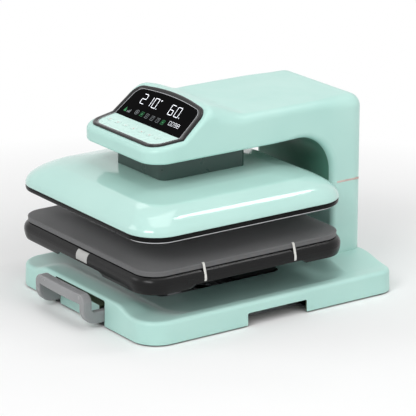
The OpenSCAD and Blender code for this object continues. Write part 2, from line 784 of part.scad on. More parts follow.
function neck_outline(grow) = outline(neck_hx + grow, platen_yc - neck_hy - grow,
    platen_yc + neck_hy + grow, neck_r + grow, neck_r + grow, 9);

function between(a, b, t) = [for (k = [0:len(a) - 1]) a[k] + (b[k] - a[k]) * t];

module platen_cover() color(mint) in_frame() {
    edge = platen_outline(cover_section[len(cover_section) - 1][0]);
    neck = neck_outline(0.5);
    closed_skin(concat(
        [for (c = cover_section) level(platen_outline(c[0]), cover_z + c[1])],
        [level(between(edge, neck, 0.5), plateau_z), level(neck, plateau_z)],
        [level(neck, plateau_z - skin_t), level(between(edge, neck, 0.5), plateau_z - skin_t)],
        [for (c = cover_inner) level(platen_outline(c[0]), cover_z + c[1])]
    ));
}

// Dark rim under the cover's edge
module platen_rim() color(graphite) in_frame() closed_skin([
    level(platen_outline(2.2), rim_low_z), level(platen_outline(0.6), rim_low_z + 2),
    level(platen_outline(0.2), cover_z - 3), level(platen_outline(0.6), cover_z),
    level(platen_outline(9), cover_z), level(platen_outline(9), plate_step_z),
    level(platen_outline(5.6), plate_step_z), level(platen_outline(5.6), rim_low_z)
]);

// Cast heated plate with bosses for the standoffs
module heating_plate() color(bright) in_frame() {
    from_z(plate_z, plate_step_z) slab(plate_hx, platen_d / 2 - 6, platen_corner_r - 6);
    from_z(plate_step_z, plate_top_z) slab(plate_hx - 12, platen_d / 2 - 18, platen_corner_r - 18);
}

element_r = 3;
element_pitch = 44;
element_reach = 140;

// Heater rod in even passes on the plate, joined by half turns
module heating_element() color([0.35, 0.33, 0.32]) in_frame()
    translate([0, platen_yc, plate_top_z + element_r]) {
        for (k = [-3:3]) translate([k * element_pitch, 0, 0]) rotate([90, 0, 0])
            cylinder(h = 2 * element_reach, r = element_r, center = true);
        for (k = [-3:2]) translate([(k + 0.5) * element_pitch, (k % 2 == 0 ? 1 : -1) * element_reach, 0])
            rotate([0, 0, k % 2 == 0 ? 0 : 180]) rotate_extrude(angle = 180)
                translate([element_pitch / 2, 0]) circle(element_r);
    }

standoff_at = [110, 110];
standoff_r = 7;

module insulation_board() color([0.85, 0.83, 0.78]) in_frame()
    from_z(plate_top_z + 2 * element_r, plate_top_z + 2 * element_r + 4) difference() {
        slab(168, 168, 20);
        at_corners(standoff_at) circle(standoff_r + 1);
        translate([66, platen_yc - 60]) circle(10);
    }

module thermal_cutout() color(graphite) in_frame() translate([66, platen_yc - 60, plate_top_z]) {
    cylinder(h = 8, r = 8);
    translate([-1.5, -5, 8]) cube([3, 10, 4]);
}

// Steel plate that carries the platen
module strongback() color(steel) in_frame() from_z(strongback_z, strongback_z + strongback_t) difference() {
    slab(strongback_half, strongback_half, 20);
    for (sx = [-1, 1], sy = [-1, 1]) translate([sx * 66, platen_yc + sy * 108]) circle(14);
}

module standoffs() color(bright) in_frame() at_corners(standoff_at)
    translate([0, 0, plate_top_z]) cylinder(h = strongback_z - plate_top_z, r = standoff_r);

// Shroud that moves with the platen and slides up into the head
module neck_shroud() color(neck_green) in_frame() difference() {
    union() {
        from_z(strongback_z + strongback_t, neck_top_z) slab(neck_hx, neck_hy, neck_r);
        from_z(strongback_z + strongback_t, strongback_z + strongback_t + 3)
            slab(neck_hx + 12, neck_hy + 12, neck_r + 12);
    }
    from_z(strongback_z, neck_top_z + 1) slab(neck_hx - neck_t, neck_hy - neck_t, neck_r - neck_t);
}

module lead_screw() color(bright) in_frame() translate([0, platen_yc, strongback_z + strongback_t]) {
    cylinder(h = 6, r = 20);
    cylinder(h = screw_top_z - strongback_z - strongback_t, r = screw_d / 2);
}

module guide_posts() color(bright) in_frame() at_corners(guide_at)
    translate([0, 0, strongback_z + strongback_t])
        cylinder(h = neck_top_z - strongback_z - strongback_t - 1, r = guide_r);

// Flanged nut that turns on the screw
module drive_nut() color(bronze) in_frame() {
    ring(gear_z - 4, nut_top_z + 4 - gear_z, nut_r, screw_d / 2 + fit);
    ring(drive_z + drive_t + 7.3, 4, nut_r + 4, screw_d / 2 + fit);
    ring(gear_z - 4, 4, nut_r + 4, screw_d / 2 + fit);
}

// Involute gear: half angle of a tooth at radius r
function roll(rb, r) = let (a = acos(min(1, rb / r))) tan(a) * 180 / PI - a;
function tooth_half(teeth, r, slack) = let (rp = gear_module * teeth / 2, rb = rp * cos(20))
    90 / teeth + roll(rb, rp) - roll(rb, max(r, rb)) - slack / rp * 180 / PI;

module gear_outline(teeth) {
    rp = gear_module * teeth / 2;
    radii = [for (d = [-1.2, -0.5, 0, 0.5, 0.95]) rp + d * gear_module];
    flank = [for (r = radii) [r, tooth_half(teeth, r, 0.08)]];
    tooth = concat([for (f = flank) [f[0], -f[1]]], [for (k = [len(flank) - 1:-1:0]) flank[k]]);
    polygon([for (t = [0:teeth - 1], p = tooth) let (a = 360 * t / teeth + p[1]) p[0] * [cos(a), sin(a)]]);
}

module nut_gear() color(steel) in_frame()
    translate([0, platen_yc, gear_z]) linear_extrude(gear_t) difference() {
        rotate(gear_angle) gear_outline(gear_teeth);
        circle(nut_r);
    }

module motor_pinion() color(bright) in_frame() translate([pinion_at[0], platen_yc + pinion_at[1], 0]) {
    translate([0, 0, gear_z]) linear_extrude(gear_t)
        rotate(gear_angle + 180 + 180 / pinion_teeth) gear_outline(pinion_teeth);
    translate([0, 0, gear_z]) cylinder(h = drive_z + drive_t + 14 - gear_z, r = motor_shaft_r);
}

// Handle: stations along the right half, each with its place, outward and forward directions and half sizes
leg_half = [6.5, 11];
grip_half = 10.5;
grip_z = 51;
leg_z = 19;
leg_end = 18;
hook_r = 16;
turn_r = 11;
grip_bow = 1.5;
grip_y = grip_half + grip_bow - handle_reach;

function leg_station(y) = [[leg_x, y, leg_z], [1, 0, 0], [0, 0, -1], leg_half];
function hook_station(a) = [
    [leg_x, grip_y + hook_r * (1 - sin(a)), leg_z + hook_r * (1 - cos(a))],
    [1, 0, 0], [0, -sin(a), -cos(a)], [leg_half[0], leg_half[1] + (grip_half - leg_half[1]) * a / 90]
];
function turn_station(a) = [
    [leg_x - turn_r * (1 - cos(a)), grip_y, grip_z - turn_r + turn_r * sin(a)],
    [cos(a), 0, sin(a)], [0, -1, 0], [leg_half[0] + (grip_half - leg_half[0]) * a / 90, grip_half]
];
function grip_station(x) = [
    [x, grip_y - grip_bow * (1 - pow(x / (leg_x - turn_r), 2)), grip_z],
    [0, 0, 1], [0, -1, 0], [grip_half, grip_half]
];

handle_half_stations = concat(
    [leg_station(leg_end), leg_station(2)], [for (a = [0:22.5:90]) hook_station(a)],
    [for (a = [0:18:90]) turn_station(a)], [grip_station(36), grip_station(18)]
);
function mirrored(s) = [[-s[0][0], s[0][1], s[0][2]], [-s[1][0], s[1][1], s[1][2]], s[2], s[3]];

// Soft square section of a station
function soft(v) = sign(v) * pow(abs(v), 0.46);
function section(s) = [for (k = [0:15]) let (a = 360 * k / 16)
    s[0] + s[1] * s[3][0] * soft(cos(a)) + s[2] * s[3][1] * soft(sin(a))];

module pull_handle() color(handle_grey) in_frame() capped_skin([
    for (s = handle_half_stations) section(s), section(grip_station(0)),
    for (k = [len(handle_half_stations) - 1:-1:0]) section(mirrored(handle_half_stations[k]))
]);

// Bars from the handle's legs back to the carriage
module pull_bars() color(steel) in_frame() both_sides()
    translate([leg_x - bar_half, leg_end, carriage_z + carriage_t]) cube([2 * bar_half, 190 - leg_end, 12]);

module carriage_plate() color(steel) in_frame() from_z(carriage_z, carriage_z + carriage_t) difference() {
    translate([-87, carriage_y[0]]) square([174, carriage_y[1] - carriage_y[0]]);
    for (x = [-30, 30], y = [190, 222]) translate([x, y]) circle(14);
}

// Moving rails, with a tongue in each channel
module slide_rails_inner() color(bright) in_frame() both_sides() along_y(carriage_y[0], carriage_y[1]) {
    translate([87, plate_top + 5]) square([6, 7]);
    translate([93, plate_top + 2]) square([2, 13]);
    translate([93, plate_top + 5]) square([9, 7]);
}

// Hollow post of the tray, through the slot in the dish
module pedestal() color(graphite) in_frame() {
    from_z(carriage_z + carriage_t, support_top - support_t) difference() {
        rounded(pedestal_hx, pedestal_y[0], pedestal_y[1], 12, 12);
        rounded(pedestal_hx - 5, pedestal_y[0] + 5, pedestal_y[1] - 5, 7, 7);
    }
    for (x = [-55, 51]) along_x(x, x + 4) polygon([
        [pedestal_y[0] + 1, 62], [pedestal_y[0] + 1, support_top - support_t],
        [120, support_top - support_t], [120, 94]
    ]);
}

module tray_support() color(steel) in_frame() from_z(support_top - support_t, support_top) difference() {
    rounded(150, 45, 350, 15, 15);
    for (x = [-110, 110], y = [95, 195, 295]) translate([x, y]) circle(24);
}

// Section of the tray's skirt: inset from the widest line, and height over its lower edge
tray_rise = tray_top_z - tray_z;
tray_section = [[3.2, 0], [1.4, 6], [0.3, 12], [0, 16], [0.8, 20.5], [3.2, 24.5], [7, tray_rise]];

function tray_outline(i) = let (r = tray_corner_r - i)
    outline(platen_hx - i, platen_y0 + i, platen_y1 - i, r, r, 8);

module drawer_tray() color(graphite) in_frame() difference() {
    capped_skin(concat(
        [level(tray_outline(9), support_top), level(tray_outline(6.4), tray_z)],
        [for (s = tray_section) level(tray_outline(s[0]), tray_z + s[1])]
    ));
    for (side = [-1, 1]) translate([side * platen_hx, 0, 0]) along_x(-15, 15) skirt_notch(88, 302, 5);
    along_y(platen_y0 - 5, platen_y0 + 15) skirt_notch(-64, 64, 5);
    along_y(platen_y1 - 15, platen_y1 + 5) skirt_notch(-64, 64, 5);
}

module skirt_notch(a, b, h) polygon([
    [a - h, tray_z - 1], [a + h, tray_z + h + 1], [b - h, tray_z + h + 1], [b + h, tray_z - 1]
]);

module pad_base_plate() color(steel) in_frame()
    from_z(tray_top_z, pad_z) slab(platen_hx - 12, platen_d / 2 - 12, tray_corner_r - 12);

// Pad: insets of its soft edge, and heights as shares of its thickness
pad_section = [[1.5, 0], [0.2, 0.15], [0.5, 0.5], [0, 0.74], [1, 0.83], [3, 0.91], [20, 0.97], [34, 1]];

module silicone_pad() color(pad_grey) in_frame() capped_skin([
    for (s = pad_section) level(tray_outline(pad_inset + s[0]), pad_z + pad_t * s[1])
]);

// White loops that tie the pad to the tray's sides
strap_y = [109, 283];
strap_w = 3;
strap_t = 0.8;
strap_path = concat(
    [for (s = tray_section) if (s[1] > 4 && s[1] < 22) [platen_hx - s[0], tray_z + s[1]]],
    [[platen_hx - pad_inset, pad_z + 0.74 * pad_t]]
);

module pad_straps() color([0.93, 0.93, 0.92]) in_frame() both_sides() for (y = strap_y)
    along_y(y - strap_w / 2, y + strap_w / 2) polygon(concat(
        strap_path,
        [for (k = [len(strap_path) - 1:-1:0]) strap_path[k] + [strap_t, 0.2]]
    ));

// Blank tag on the tray's front edge
module pad_tag() color([0.93, 0.93, 0.92]) in_frame()
    translate([-5, platen_y0 - 0.7, tray_z + 11]) cube([32, 0.7, 16]);

base_pan();
bottom_plate();
rubber_feet();
base_screws();
slide_rails_outer();
column_frame();
arm_beam();
column_cover();
seam_strips();
arm_cover();
arm_bottom_cover();
panel_bezel();
display_glass();
display_board();
key_panel();
key_board();
control_board();
gear_motor();
thrust_bearings();
drive_plate();
guide_bushes();
hanger_posts();
neck_sleeve();
power_inlet();
rocker_frame();
platen_cover();
platen_rim();
heating_plate();
heating_element();
insulation_board();
thermal_cutout();
strongback();
standoffs();
neck_shroud();
lead_screw();
guide_posts();
drive_nut();
nut_gear();
motor_pinion();
pull_handle();
pull_bars();
carriage_plate();
slide_rails_inner();
pedestal();
tray_support();
drawer_tray();
pad_base_plate();
silicone_pad();
pad_straps();
pad_tag();
power_rocker();
key_1();
key_2();
key_3();
key_4();
key_5();
key_6();
key_7();
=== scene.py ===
import json
import math

import bmesh
import bpy
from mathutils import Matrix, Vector


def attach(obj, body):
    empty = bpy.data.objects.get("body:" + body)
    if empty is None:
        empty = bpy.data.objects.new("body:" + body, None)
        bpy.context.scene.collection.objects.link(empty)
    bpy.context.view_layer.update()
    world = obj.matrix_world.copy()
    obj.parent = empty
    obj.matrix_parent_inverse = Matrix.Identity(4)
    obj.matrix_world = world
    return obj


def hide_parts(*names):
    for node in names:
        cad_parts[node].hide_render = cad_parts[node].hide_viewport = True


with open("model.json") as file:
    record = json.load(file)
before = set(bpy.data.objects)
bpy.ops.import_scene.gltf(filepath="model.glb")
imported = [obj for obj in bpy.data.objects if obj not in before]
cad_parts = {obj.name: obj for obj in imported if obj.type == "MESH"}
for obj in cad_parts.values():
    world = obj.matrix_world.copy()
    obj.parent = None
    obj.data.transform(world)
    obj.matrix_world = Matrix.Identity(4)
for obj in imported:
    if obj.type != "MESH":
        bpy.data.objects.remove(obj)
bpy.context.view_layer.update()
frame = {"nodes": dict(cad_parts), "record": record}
scene = bpy.context.scene
scene.view_settings.view_transform = "Standard"

# Camera at the photograph's angle, metres and degrees
cameraSet = {"target": (0.0097, 0.01805, 0.139), "azimuth": 55.4, "elevation": 17.6, "distance": 4.3449,
             "lens": 229.0, "sensor": 36, "clip": (0.05, 100)}


def polar(degrees):
    return math.cos(math.radians(degrees)), math.sin(math.radians(degrees))


def addCamera(setup):
    (turnCos, turnSin), (liftCos, liftSin) = polar(setup["azimuth"]), polar(setup["elevation"])
    back = Vector((turnSin * liftCos, -turnCos * liftCos, liftSin))
    data = bpy.data.cameras.new("pressCamera")
    data.lens, data.sensor_width = setup["lens"], setup["sensor"]
    data.clip_start, data.clip_end = setup["clip"]
    camera = bpy.data.objects.new("pressCamera", data)
    camera.location = Vector(setup["target"]) + back * setup["distance"]
    camera.rotation_euler = (-back).to_track_quat("-Z", "Y").to_euler()
    scene.collection.objects.link(camera)
    scene.camera = camera


addCamera(cameraSet)
print("camera placed")


# Node helpers: a value that is a socket is linked, anything else is set
def fill(tree, node, values):
    for socket, value in values.items():
        if isinstance(value, bpy.types.NodeSocket):
            tree.links.new(value, node.inputs[socket])
        else:
            node.inputs[socket].default_value = value
    return node


def addNode(tree, kind, values=None, **options):
    made = tree.nodes.new(kind)
    for option, value in options.items():
        setattr(made, option, value)
    return fill(tree, made, values or {})


def addMath(tree, operation, first, second=0.0, clamp=False):
    return addNode(tree, "ShaderNodeMath", {0: first, 1: second}, operation=operation, use_clamp=clamp).outputs[0]


def addProduct(tree, first, *others):
    for other in others:
        first = addMath(tree, "MULTIPLY", first, other)
    return first


def addRange(tree, value, low, high, toLow=0.0, toHigh=1.0):
    return addNode(tree, "ShaderNodeMapRange", {0: value, 1: low, 2: high, 3: toLow, 4: toHigh}).outputs[0]


def addNoise(tree, place, scale, detail, **more):
    values = {"Vector": place, "Scale": scale, "Detail": detail, **more}
    return addNode(tree, "ShaderNodeTexNoise", values).outputs[0]


def objectPlace(tree):
    return addNode(tree, "ShaderNodeTexCoord").outputs["Object"]


# A group's inputs come with their usual values, its outputs from what its nodes return
def makeGroup(name, inputs, build):
    tree = bpy.data.node_groups.new(name, "ShaderNodeTree")
    for socketName, value in inputs.items():
        kind = "NodeSocketVector" if isinstance(value, tuple) else "NodeSocketFloat"
        tree.interface.new_socket(socketName, in_out="INPUT", socket_type=kind).default_value = value
    results = build(tree, tree.nodes.new("NodeGroupInput").outputs, objectPlace(tree))
    for socketName in results:
        tree.interface.new_socket(socketName, in_out="OUTPUT", socket_type="NodeSocketFloat")
    addNode(tree, "NodeGroupOutput", results)
    return tree


def useGroup(tree, group, values):
    return addNode(tree, "ShaderNodeGroup", values, node_tree=group).outputs


# Fine grain of a mould, and slow changes of tone over a hand's breadth
def grainNodes(tree, take, place):
    slow = addNoise(tree, place, take["Tone Scale"], 2.0)
    return {"Height": addNoise(tree, place, take["Grain Scale"], 3.0), "Tone": addRange(tree, slow, 0.32, 0.68),
            "Flow": addNoise(tree, place, 38.0, 1.0)}


# Dust on faces that look up, broken up by noise
def dustNodes(tree, take, place):
    normal = addNode(tree, "ShaderNodeNewGeometry").outputs["Normal"]
    upward = addRange(tree, addNode(tree, "ShaderNodeSeparateXYZ", {0: normal}).outputs["Z"], 0.55, 1.0)
    patch = addNoise(tree, place, take["Patch Scale"], 6.0, Roughness=0.7)
    return {"Mask": addProduct(tree, upward, addRange(tree, patch, 0.42, 0.75), take["Amount"])}


# Rubbed edges: where the surface bends sharply outwards; on the handle they are partly real wear and partly a painted
# highlight
def wearNodes(tree, take, place):
    bend = addRange(tree, addNode(tree, "ShaderNodeNewGeometry").outputs["Pointiness"], 0.515, 0.6)
    patch = addNoise(tree, place, take["Patch Scale"], 4.0)
    return {"Mask": addProduct(tree, bend, addRange(tree, patch, 0.4, 0.62), take["Amount"])}


# Hairline scuffs from wiping, in two crossing directions
def scuffNodes(tree, take, place):
    lines = []
    for turn, scale in ((0.35, (18.0, 900.0, 60.0)), (-0.9, (700.0, 22.0, 60.0))):
        spun = addNode(tree, "ShaderNodeMapping", {"Vector": place, "Rotation": (0.0, 0.0, turn), "Scale": scale})
        lines.append(addRange(tree, addNoise(tree, spun.outputs[0], 1.0, 2.0), 0.66, 0.74))
    return {"Mask": addProduct(tree, addMath(tree, "MAXIMUM", *lines), take["Amount"])}


# Straight lines of ground or rolled metal
def rolledNodes(tree, take, place):
    drawn = addNode(tree, "ShaderNodeVectorMath", {0: place, 1: take["Stretch"]}, operation="MULTIPLY")
    return {"Height": addNoise(tree, drawn.outputs[0], 1.0, 4.0), "Shade": addNoise(tree, place, 25.0, 3.0)}


# Open cells of foam rubber, with a slow mottle
def foamNodes(tree, take, place):
    cells = addNode(tree, "ShaderNodeTexVoronoi", {"Vector": place, "Scale": take["Cell Scale"]})
    return {"Height": cells.outputs["Distance"], "Mottle": addNoise(tree, place, 22.0, 5.0)}


# Plain weave of a narrow tape, threads over and under
def weaveNodes(tree, take, place):
    axes = addNode(tree, "ShaderNodeSeparateXYZ", {0: place}).outputs
    threads = [addMath(tree, "SINE", addProduct(tree, way, take["Threads"]))
               for way in (addMath(tree, "ADD", axes["X"], axes["Y"]), axes["Z"])]
    woven = addRange(tree, addProduct(tree, *threads), -1.0, 1.0)
    return {"Height": woven, "Shade": woven}


mouldGrain = makeGroup("mouldGrain", {"Grain Scale": 900.0, "Tone Scale": 9.0}, grainNodes)
settledDust = makeGroup("settledDust", {"Amount": 0.1, "Patch Scale": 60.0}, dustNodes)
edgeWear = makeGroup("edgeWear", {"Amount": 0.3, "Patch Scale": 45.0}, wearNodes)
wipeScuffs = makeGroup("wipeScuffs", {"Amount": 0.1}, scuffNodes)
rolledLines = makeGroup("rolledLines", {"Stretch": (30.0, 1500.0, 1500.0)}, rolledNodes)
foamCells = makeGroup("foamCells", {"Cell Scale": 700.0}, foamNodes)
tapeWeave = makeGroup("tapeWeave", {"Threads": 9000.0}, weaveNodes)
print("surface groups built")

# What a finish has unless its row says otherwise
usualMould = {"grain": 900.0, "toneScale": 9.0, "dust": 0.06, "wear": 0.2, "scuff": 0.06, "bump": 0.06, "coat": 0.0,
              "coatRough": 0.05, "specular": 0.5}
usualMetal = {"wear": 0.4, "bump": 0.1, "metallic": 1.0}
usualRubber = {"dust": 0.1, "dustPatch": 240.0, "wear": 0.3, "bump": 0.25, "sheen": 0.1}
dustColour, rubberDust = (0.80, 0.79, 0.76), (0.62, 0.62, 0.61)


# Display colour to linear light; one number is a grey
def linear(colour):
    channels = colour if isinstance(colour, tuple) else (colour,) * 3
    return tuple(c / 12.92 if c <= 0.04045 else ((c + 0.055) / 1.055) ** 2.4 for c in channels) + (1.0,)


# Colours laid over each other, each by its mask
def addLayers(tree, colour, *layers):
    shade = linear(colour)
    for mask, over in layers:
        values = {0: mask, 6: shade, 7: linear(over)}
        shade = addNode(tree, "ShaderNodeMix", values, data_type="RGBA").outputs[2]
    return shade


def addMask(tree, group, amount):
    return useGroup(tree, group, {"Amount": amount})["Mask"]


def addBump(tree, height, strength, distance):
    values = {"Height": height, "Strength": strength, "Distance": distance}
    return addNode(tree, "ShaderNodeBump", values).outputs[0]


# Moulded plastic and paint: colour and tone, grain, dust, rubbed edges, scuffs
def mouldedFinish(tree, colour, tone, rubbed, rough, more):
    look = {**usualMould, **more}
    grain = useGroup(tree, mouldGrain, {"Grain Scale": look["grain"], "Tone Scale": look["toneScale"]})
    dust, wear = addMask(tree, settledDust, look["dust"]), addMask(tree, edgeWear, look["wear"])
    matt = addRange(tree, grain["Flow"], 0.3, 0.7, *rough)
    matt = addMath(tree, "ADD", matt, addMask(tree, wipeScuffs, look["scuff"]))
    return {"Base Color": addLayers(tree, colour, (grain["Tone"], tone), (wear, rubbed), (dust, dustColour)),
            "Roughness": addMath(tree, "ADD", matt, addProduct(tree, dust, 0.5), clamp=True),
            "Coat Weight": look["coat"], "Coat Roughness": look["coatRough"], "Specular IOR Level": look["specular"],
            "Normal": addBump(tree, grain["Height"], look["bump"], 0.0002)}


# Bare and plated metal with rolled or ground lines
def metalFinish(tree, colour, tone, rubbed, rough, stretch, more):
    look = {**usualMetal, **more}
    lines = useGroup(tree, rolledLines, {"Stretch": stretch})
    wear = addMask(tree, edgeWear, look["wear"])
    return {"Base Color": addLayers(tree, colour, (lines["Shade"], tone), (wear, rubbed)),
            "Metallic": look["metallic"], "Roughness": addRange(tree, lines["Height"], 0.3, 0.7, *rough),
            "Normal": addBump(tree, lines["Height"], look["bump"], 0.0001)}


# Foam and solid rubber
def rubberFinish(tree, colour, tone, rubbed, rough, cellScale, more):
    look = {**usualRubber, **more}
    cells = useGroup(tree, foamCells, {"Cell Scale": cellScale})
    dust = useGroup(tree, settledDust, {"Amount": look["dust"], "Patch Scale": look["dustPatch"]})["Mask"]
    drift, wear = addRange(tree, cells["Mottle"], 0.3, 0.7), addMask(tree, edgeWear, look["wear"])
    return {"Base Color": addLayers(tree, colour, (drift, tone), (wear, rubbed), (dust, rubberDust)),
            "Sheen Weight": look["sheen"], "Roughness": addRange(tree, cells["Mottle"], 0.3, 0.7, *rough),
            "Normal": addBump(tree, cells["Height"], look["bump"], 0.0004)}


# Narrow woven tape
def tapeFinish(tree, colour, tone, soiled, threads):
    weave = useGroup(tree, tapeWeave, {"Threads": threads})
    grain = useGroup(tree, mouldGrain, {"Grain Scale": 1600.0, "Tone Scale": 60.0})
    soil = addProduct(tree, grain["Tone"], 0.15)
    return {"Base Color": addLayers(tree, tone, (weave["Shade"], colour), (soil, soiled)), "Sheen Weight": 0.25,
            "Roughness": addRange(tree, weave["Shade"], 0.0, 1.0, 0.75, 0.9),
            "Normal": addBump(tree, weave["Height"], 0.35, 0.0002)}


# Lit segments and signs of the display, a little uneven as real segments are
def glowFinish(tree, colour, tone, strength):
    grain = useGroup(tree, mouldGrain, {"Grain Scale": 500.0, "Tone Scale": 90.0})
    shade = addLayers(tree, colour, (grain["Tone"], tone))
    return {"Base Color": shade, "Emission Color": shade, "Emission Strength": strength,
            "Roughness": addRange(tree, grain["Flow"], 0.0, 1.0, 0.35, 0.5)}


def makeFinish(name, build, row):
    material = bpy.data.materials.new(name)
    material.use_nodes = True
    tree = material.node_tree
    fill(tree, tree.nodes["Principled BSDF"], build(tree, *row))
    return material


# Rows: colour, the tone it drifts to, rubbed edges, roughness from and to, then what is its own
moulded = {
    "mintGloss": ((0.705, 0.86, 0.828), (0.725, 0.875, 0.843), (0.80, 0.925, 0.90), (0.10, 0.15),
                  {"bump": 0.012, "coat": 0.35, "coatRough": 0.04, "dust": 0.03, "wear": 0.1, "scuff": 0.025}),
    "mintSatin": ((0.70, 0.863, 0.83), (0.725, 0.878, 0.845), (0.79, 0.92, 0.89), (0.30, 0.38),
                  {"grain": 1300.0, "bump": 0.05, "dust": 0.04, "wear": 0.15, "scuff": 0.04}),
    # the next row is a darker copy of the mint: painted shade for the arm's underside
    "mintPaintedShade": ((0.34, 0.54, 0.47), (0.37, 0.57, 0.50), (0.50, 0.66, 0.60), (0.28, 0.36),
                  {"grain": 1300.0, "bump": 0.05, "dust": 0.02, "wear": 0.1}),
    "paleMint": ((0.78, 0.92, 0.885), (0.80, 0.93, 0.90), (0.93, 0.97, 0.96), (0.22, 0.3),
                 {"grain": 2200.0, "bump": 0.03, "dust": 0.02, "wear": 0.05, "scuff": 0.012}),
    "keyWhite": ((0.80, 0.905, 0.88), (0.82, 0.915, 0.89), (0.88, 0.94, 0.92), (0.35, 0.45),
                 {"grain": 2600.0, "bump": 0.05, "dust": 0.02, "wear": 0.1}),
    "graphite": ((0.06, 0.06, 0.063), (0.08, 0.08, 0.083), (0.30, 0.30, 0.31), (0.16, 0.2),
                 {"bump": 0.01, "coat": 0.15, "coatRough": 0.1, "dust": 0.01, "wear": 0.15, "scuff": 0.02,
                  "specular": 0.3}),
    "displayBlack": ((0.02, 0.02, 0.022), (0.03, 0.03, 0.033), 0.08, (0.05, 0.09),
                     {"bump": 0.002, "dust": 0.0, "wear": 0.05, "scuff": 0.02, "specular": 0.012}),
    "neckGreen": ((0.21, 0.30, 0.28), (0.24, 0.33, 0.31), (0.36, 0.42, 0.40), (0.26, 0.36),
                  {"bump": 0.05, "dust": 0.01, "wear": 0.1, "scuff": 0.02}),
    "rimBlack": ((0.02, 0.02, 0.021), (0.03, 0.03, 0.031), 0.12, (0.2, 0.28),
                 {"bump": 0.03, "dust": 0.005, "specular": 0.12}),
    "trayBlack": ((0.035, 0.035, 0.037), (0.045, 0.045, 0.047), 0.2, (0.22, 0.27),
                  {"grain": 1100.0, "bump": 0.03, "dust": 0.01, "wear": 0.05, "scuff": 0.03, "specular": 0.24}),
    "satinBlack": (0.08, 0.10, 0.22, (0.38, 0.48), {"grain": 1500.0, "bump": 0.1, "dust": 0.05}),
    # the handle's lighter rubbed edges are partly real wear and partly a painted highlight along its edges
    "handleGrey": ((0.55, 0.555, 0.56), (0.58, 0.585, 0.59), 0.70, (0.2, 0.28),
                   {"grain": 1400.0, "bump": 0.1, "dust": 0.05, "wear": 0.4, "scuff": 0.08}),
    "boardGreen": ((0.07, 0.31, 0.19), (0.09, 0.37, 0.23), (0.62, 0.60, 0.42), (0.25, 0.4),
                   {"grain": 500.0, "toneScale": 120.0, "bump": 0.15, "dust": 0.08, "wear": 0.3}),
    "fibreBoard": ((0.84, 0.82, 0.76), (0.76, 0.73, 0.66), (0.90, 0.88, 0.84), (0.75, 0.92),
                   {"grain": 420.0, "toneScale": 70.0, "bump": 0.5, "dust": 0.2}),
    # the next row is dark olive: painted shade for the inside of the base pan and the handle's pocket
    "paintedShadeInside": ((0.22, 0.27, 0.19), (0.26, 0.31, 0.23), (0.34, 0.38, 0.30), (0.5, 0.62),
                   {"grain": 700.0, "bump": 0.15, "dust": 0.1}),
    "redPrint": ((0.74, 0.47, 0.44), (0.78, 0.55, 0.52), (0.85, 0.70, 0.68), (0.45, 0.6),
                 {"grain": 1800.0, "bump": 0.05}),
    "greenPrint": ((0.50, 0.70, 0.60), (0.56, 0.74, 0.65), (0.70, 0.82, 0.77), (0.45, 0.6),
                   {"grain": 1800.0, "bump": 0.05}),
    "tagFilm": ((0.70, 0.70, 0.69), (0.76, 0.76, 0.75), (0.82, 0.82, 0.81), (0.3, 0.42),
                {"grain": 1600.0, "dust": 0.03, "wear": 0.1}),
}
# the same, with the scale of the foam's cells
rubbers = {
    "padFoam": ((0.37, 0.372, 0.375), (0.40, 0.402, 0.405), (0.48, 0.48, 0.485), (0.62, 0.74), 1100.0,
                {"bump": 0.18, "dust": 0.05, "sheen": 0.12}),
    "footRubber": (0.06, 0.08, 0.18, (0.7, 0.85), 1500.0, {"bump": 0.2}),
}
# the same, with the stretch of the metal's lines
metals = {
    "castAluminium": ((0.80, 0.81, 0.82), (0.72, 0.73, 0.74), 0.92, (0.22, 0.38), (900.0, 900.0, 900.0),
                      {"bump": 0.15}),
    "zincSheet": ((0.62, 0.64, 0.66), (0.52, 0.54, 0.56), (0.80, 0.81, 0.82), (0.30, 0.48), (1400.0, 24.0, 1400.0),
                  {"bump": 0.12}),
    "groundSteel": ((0.80, 0.81, 0.82), (0.72, 0.73, 0.75), (0.93, 0.93, 0.94), (0.12, 0.24), (900.0, 900.0, 3000.0),
                    {"bump": 0.08}),
    "warmTrim": ((0.80, 0.71, 0.68), (0.74, 0.65, 0.62), (0.90, 0.84, 0.81), (0.25, 0.38), (1400.0, 24.0, 1400.0),
                 {"metallic": 0.75}),
    "bearingBronze": ((0.72, 0.52, 0.29), (0.60, 0.42, 0.23), (0.86, 0.68, 0.42), (0.25, 0.42), (700.0, 700.0, 2200.0),
                      {"bump": 0.12}),
    "oxidisedRod": ((0.34, 0.31, 0.29), (0.24, 0.22, 0.22), (0.48, 0.44, 0.41), (0.45, 0.65), (500.0, 500.0, 500.0),
                    {"bump": 0.3, "metallic": 0.8}),
}
tapes = {"whiteTape": ((0.94, 0.94, 0.92), (0.82, 0.82, 0.80), (0.66, 0.64, 0.60), 9000.0)}
glows = {
    "whiteGlow": ((0.97, 0.98, 1.0), (0.90, 0.92, 0.95), 0.9),
    "greyGlow": ((0.50, 0.52, 0.53), (0.42, 0.44, 0.45), 0.4),
    "greenGlow": ((0.08, 0.45, 0.24), (0.06, 0.38, 0.20), 0.5),
}
finishes = {}
for build, rows in ((mouldedFinish, moulded), (rubberFinish, rubbers), (metalFinish, metals), (tapeFinish, tapes),
                    (glowFinish, glows)):
    finishes.update({name: makeFinish(name, build, row) for name, row in rows.items()})
print("finishes built:", len(finishes))

# The part's source measures from the base's front face, in millimetres
frontShift = -226.25


def toMetres(points):
    return [(x / 1000, (y + frontShift) / 1000, z / 1000) for x, y, z in points]


def ramp(value):
    return min(1.0, max(0.0, value))


def ease(low, high, value):
    t = ramp((value - low) / (high - low))
    return t * t * (3 - 2 * t)


def edgeDrop(inset, radius):
    return 0.0 if inset >= radius else radius - math.sqrt(max(0.0, radius * radius - (radius - inset) ** 2))


def arcPoints(cx, cy, radius, turns):
    return [(cx + radius * c, cy + radius * s) for c, s in map(polar, turns)]


def cornerArc(cx, cy, radius, start, count):
    return arcPoints(cx, cy, radius, [start + 90 * k / count for k in range(count)])


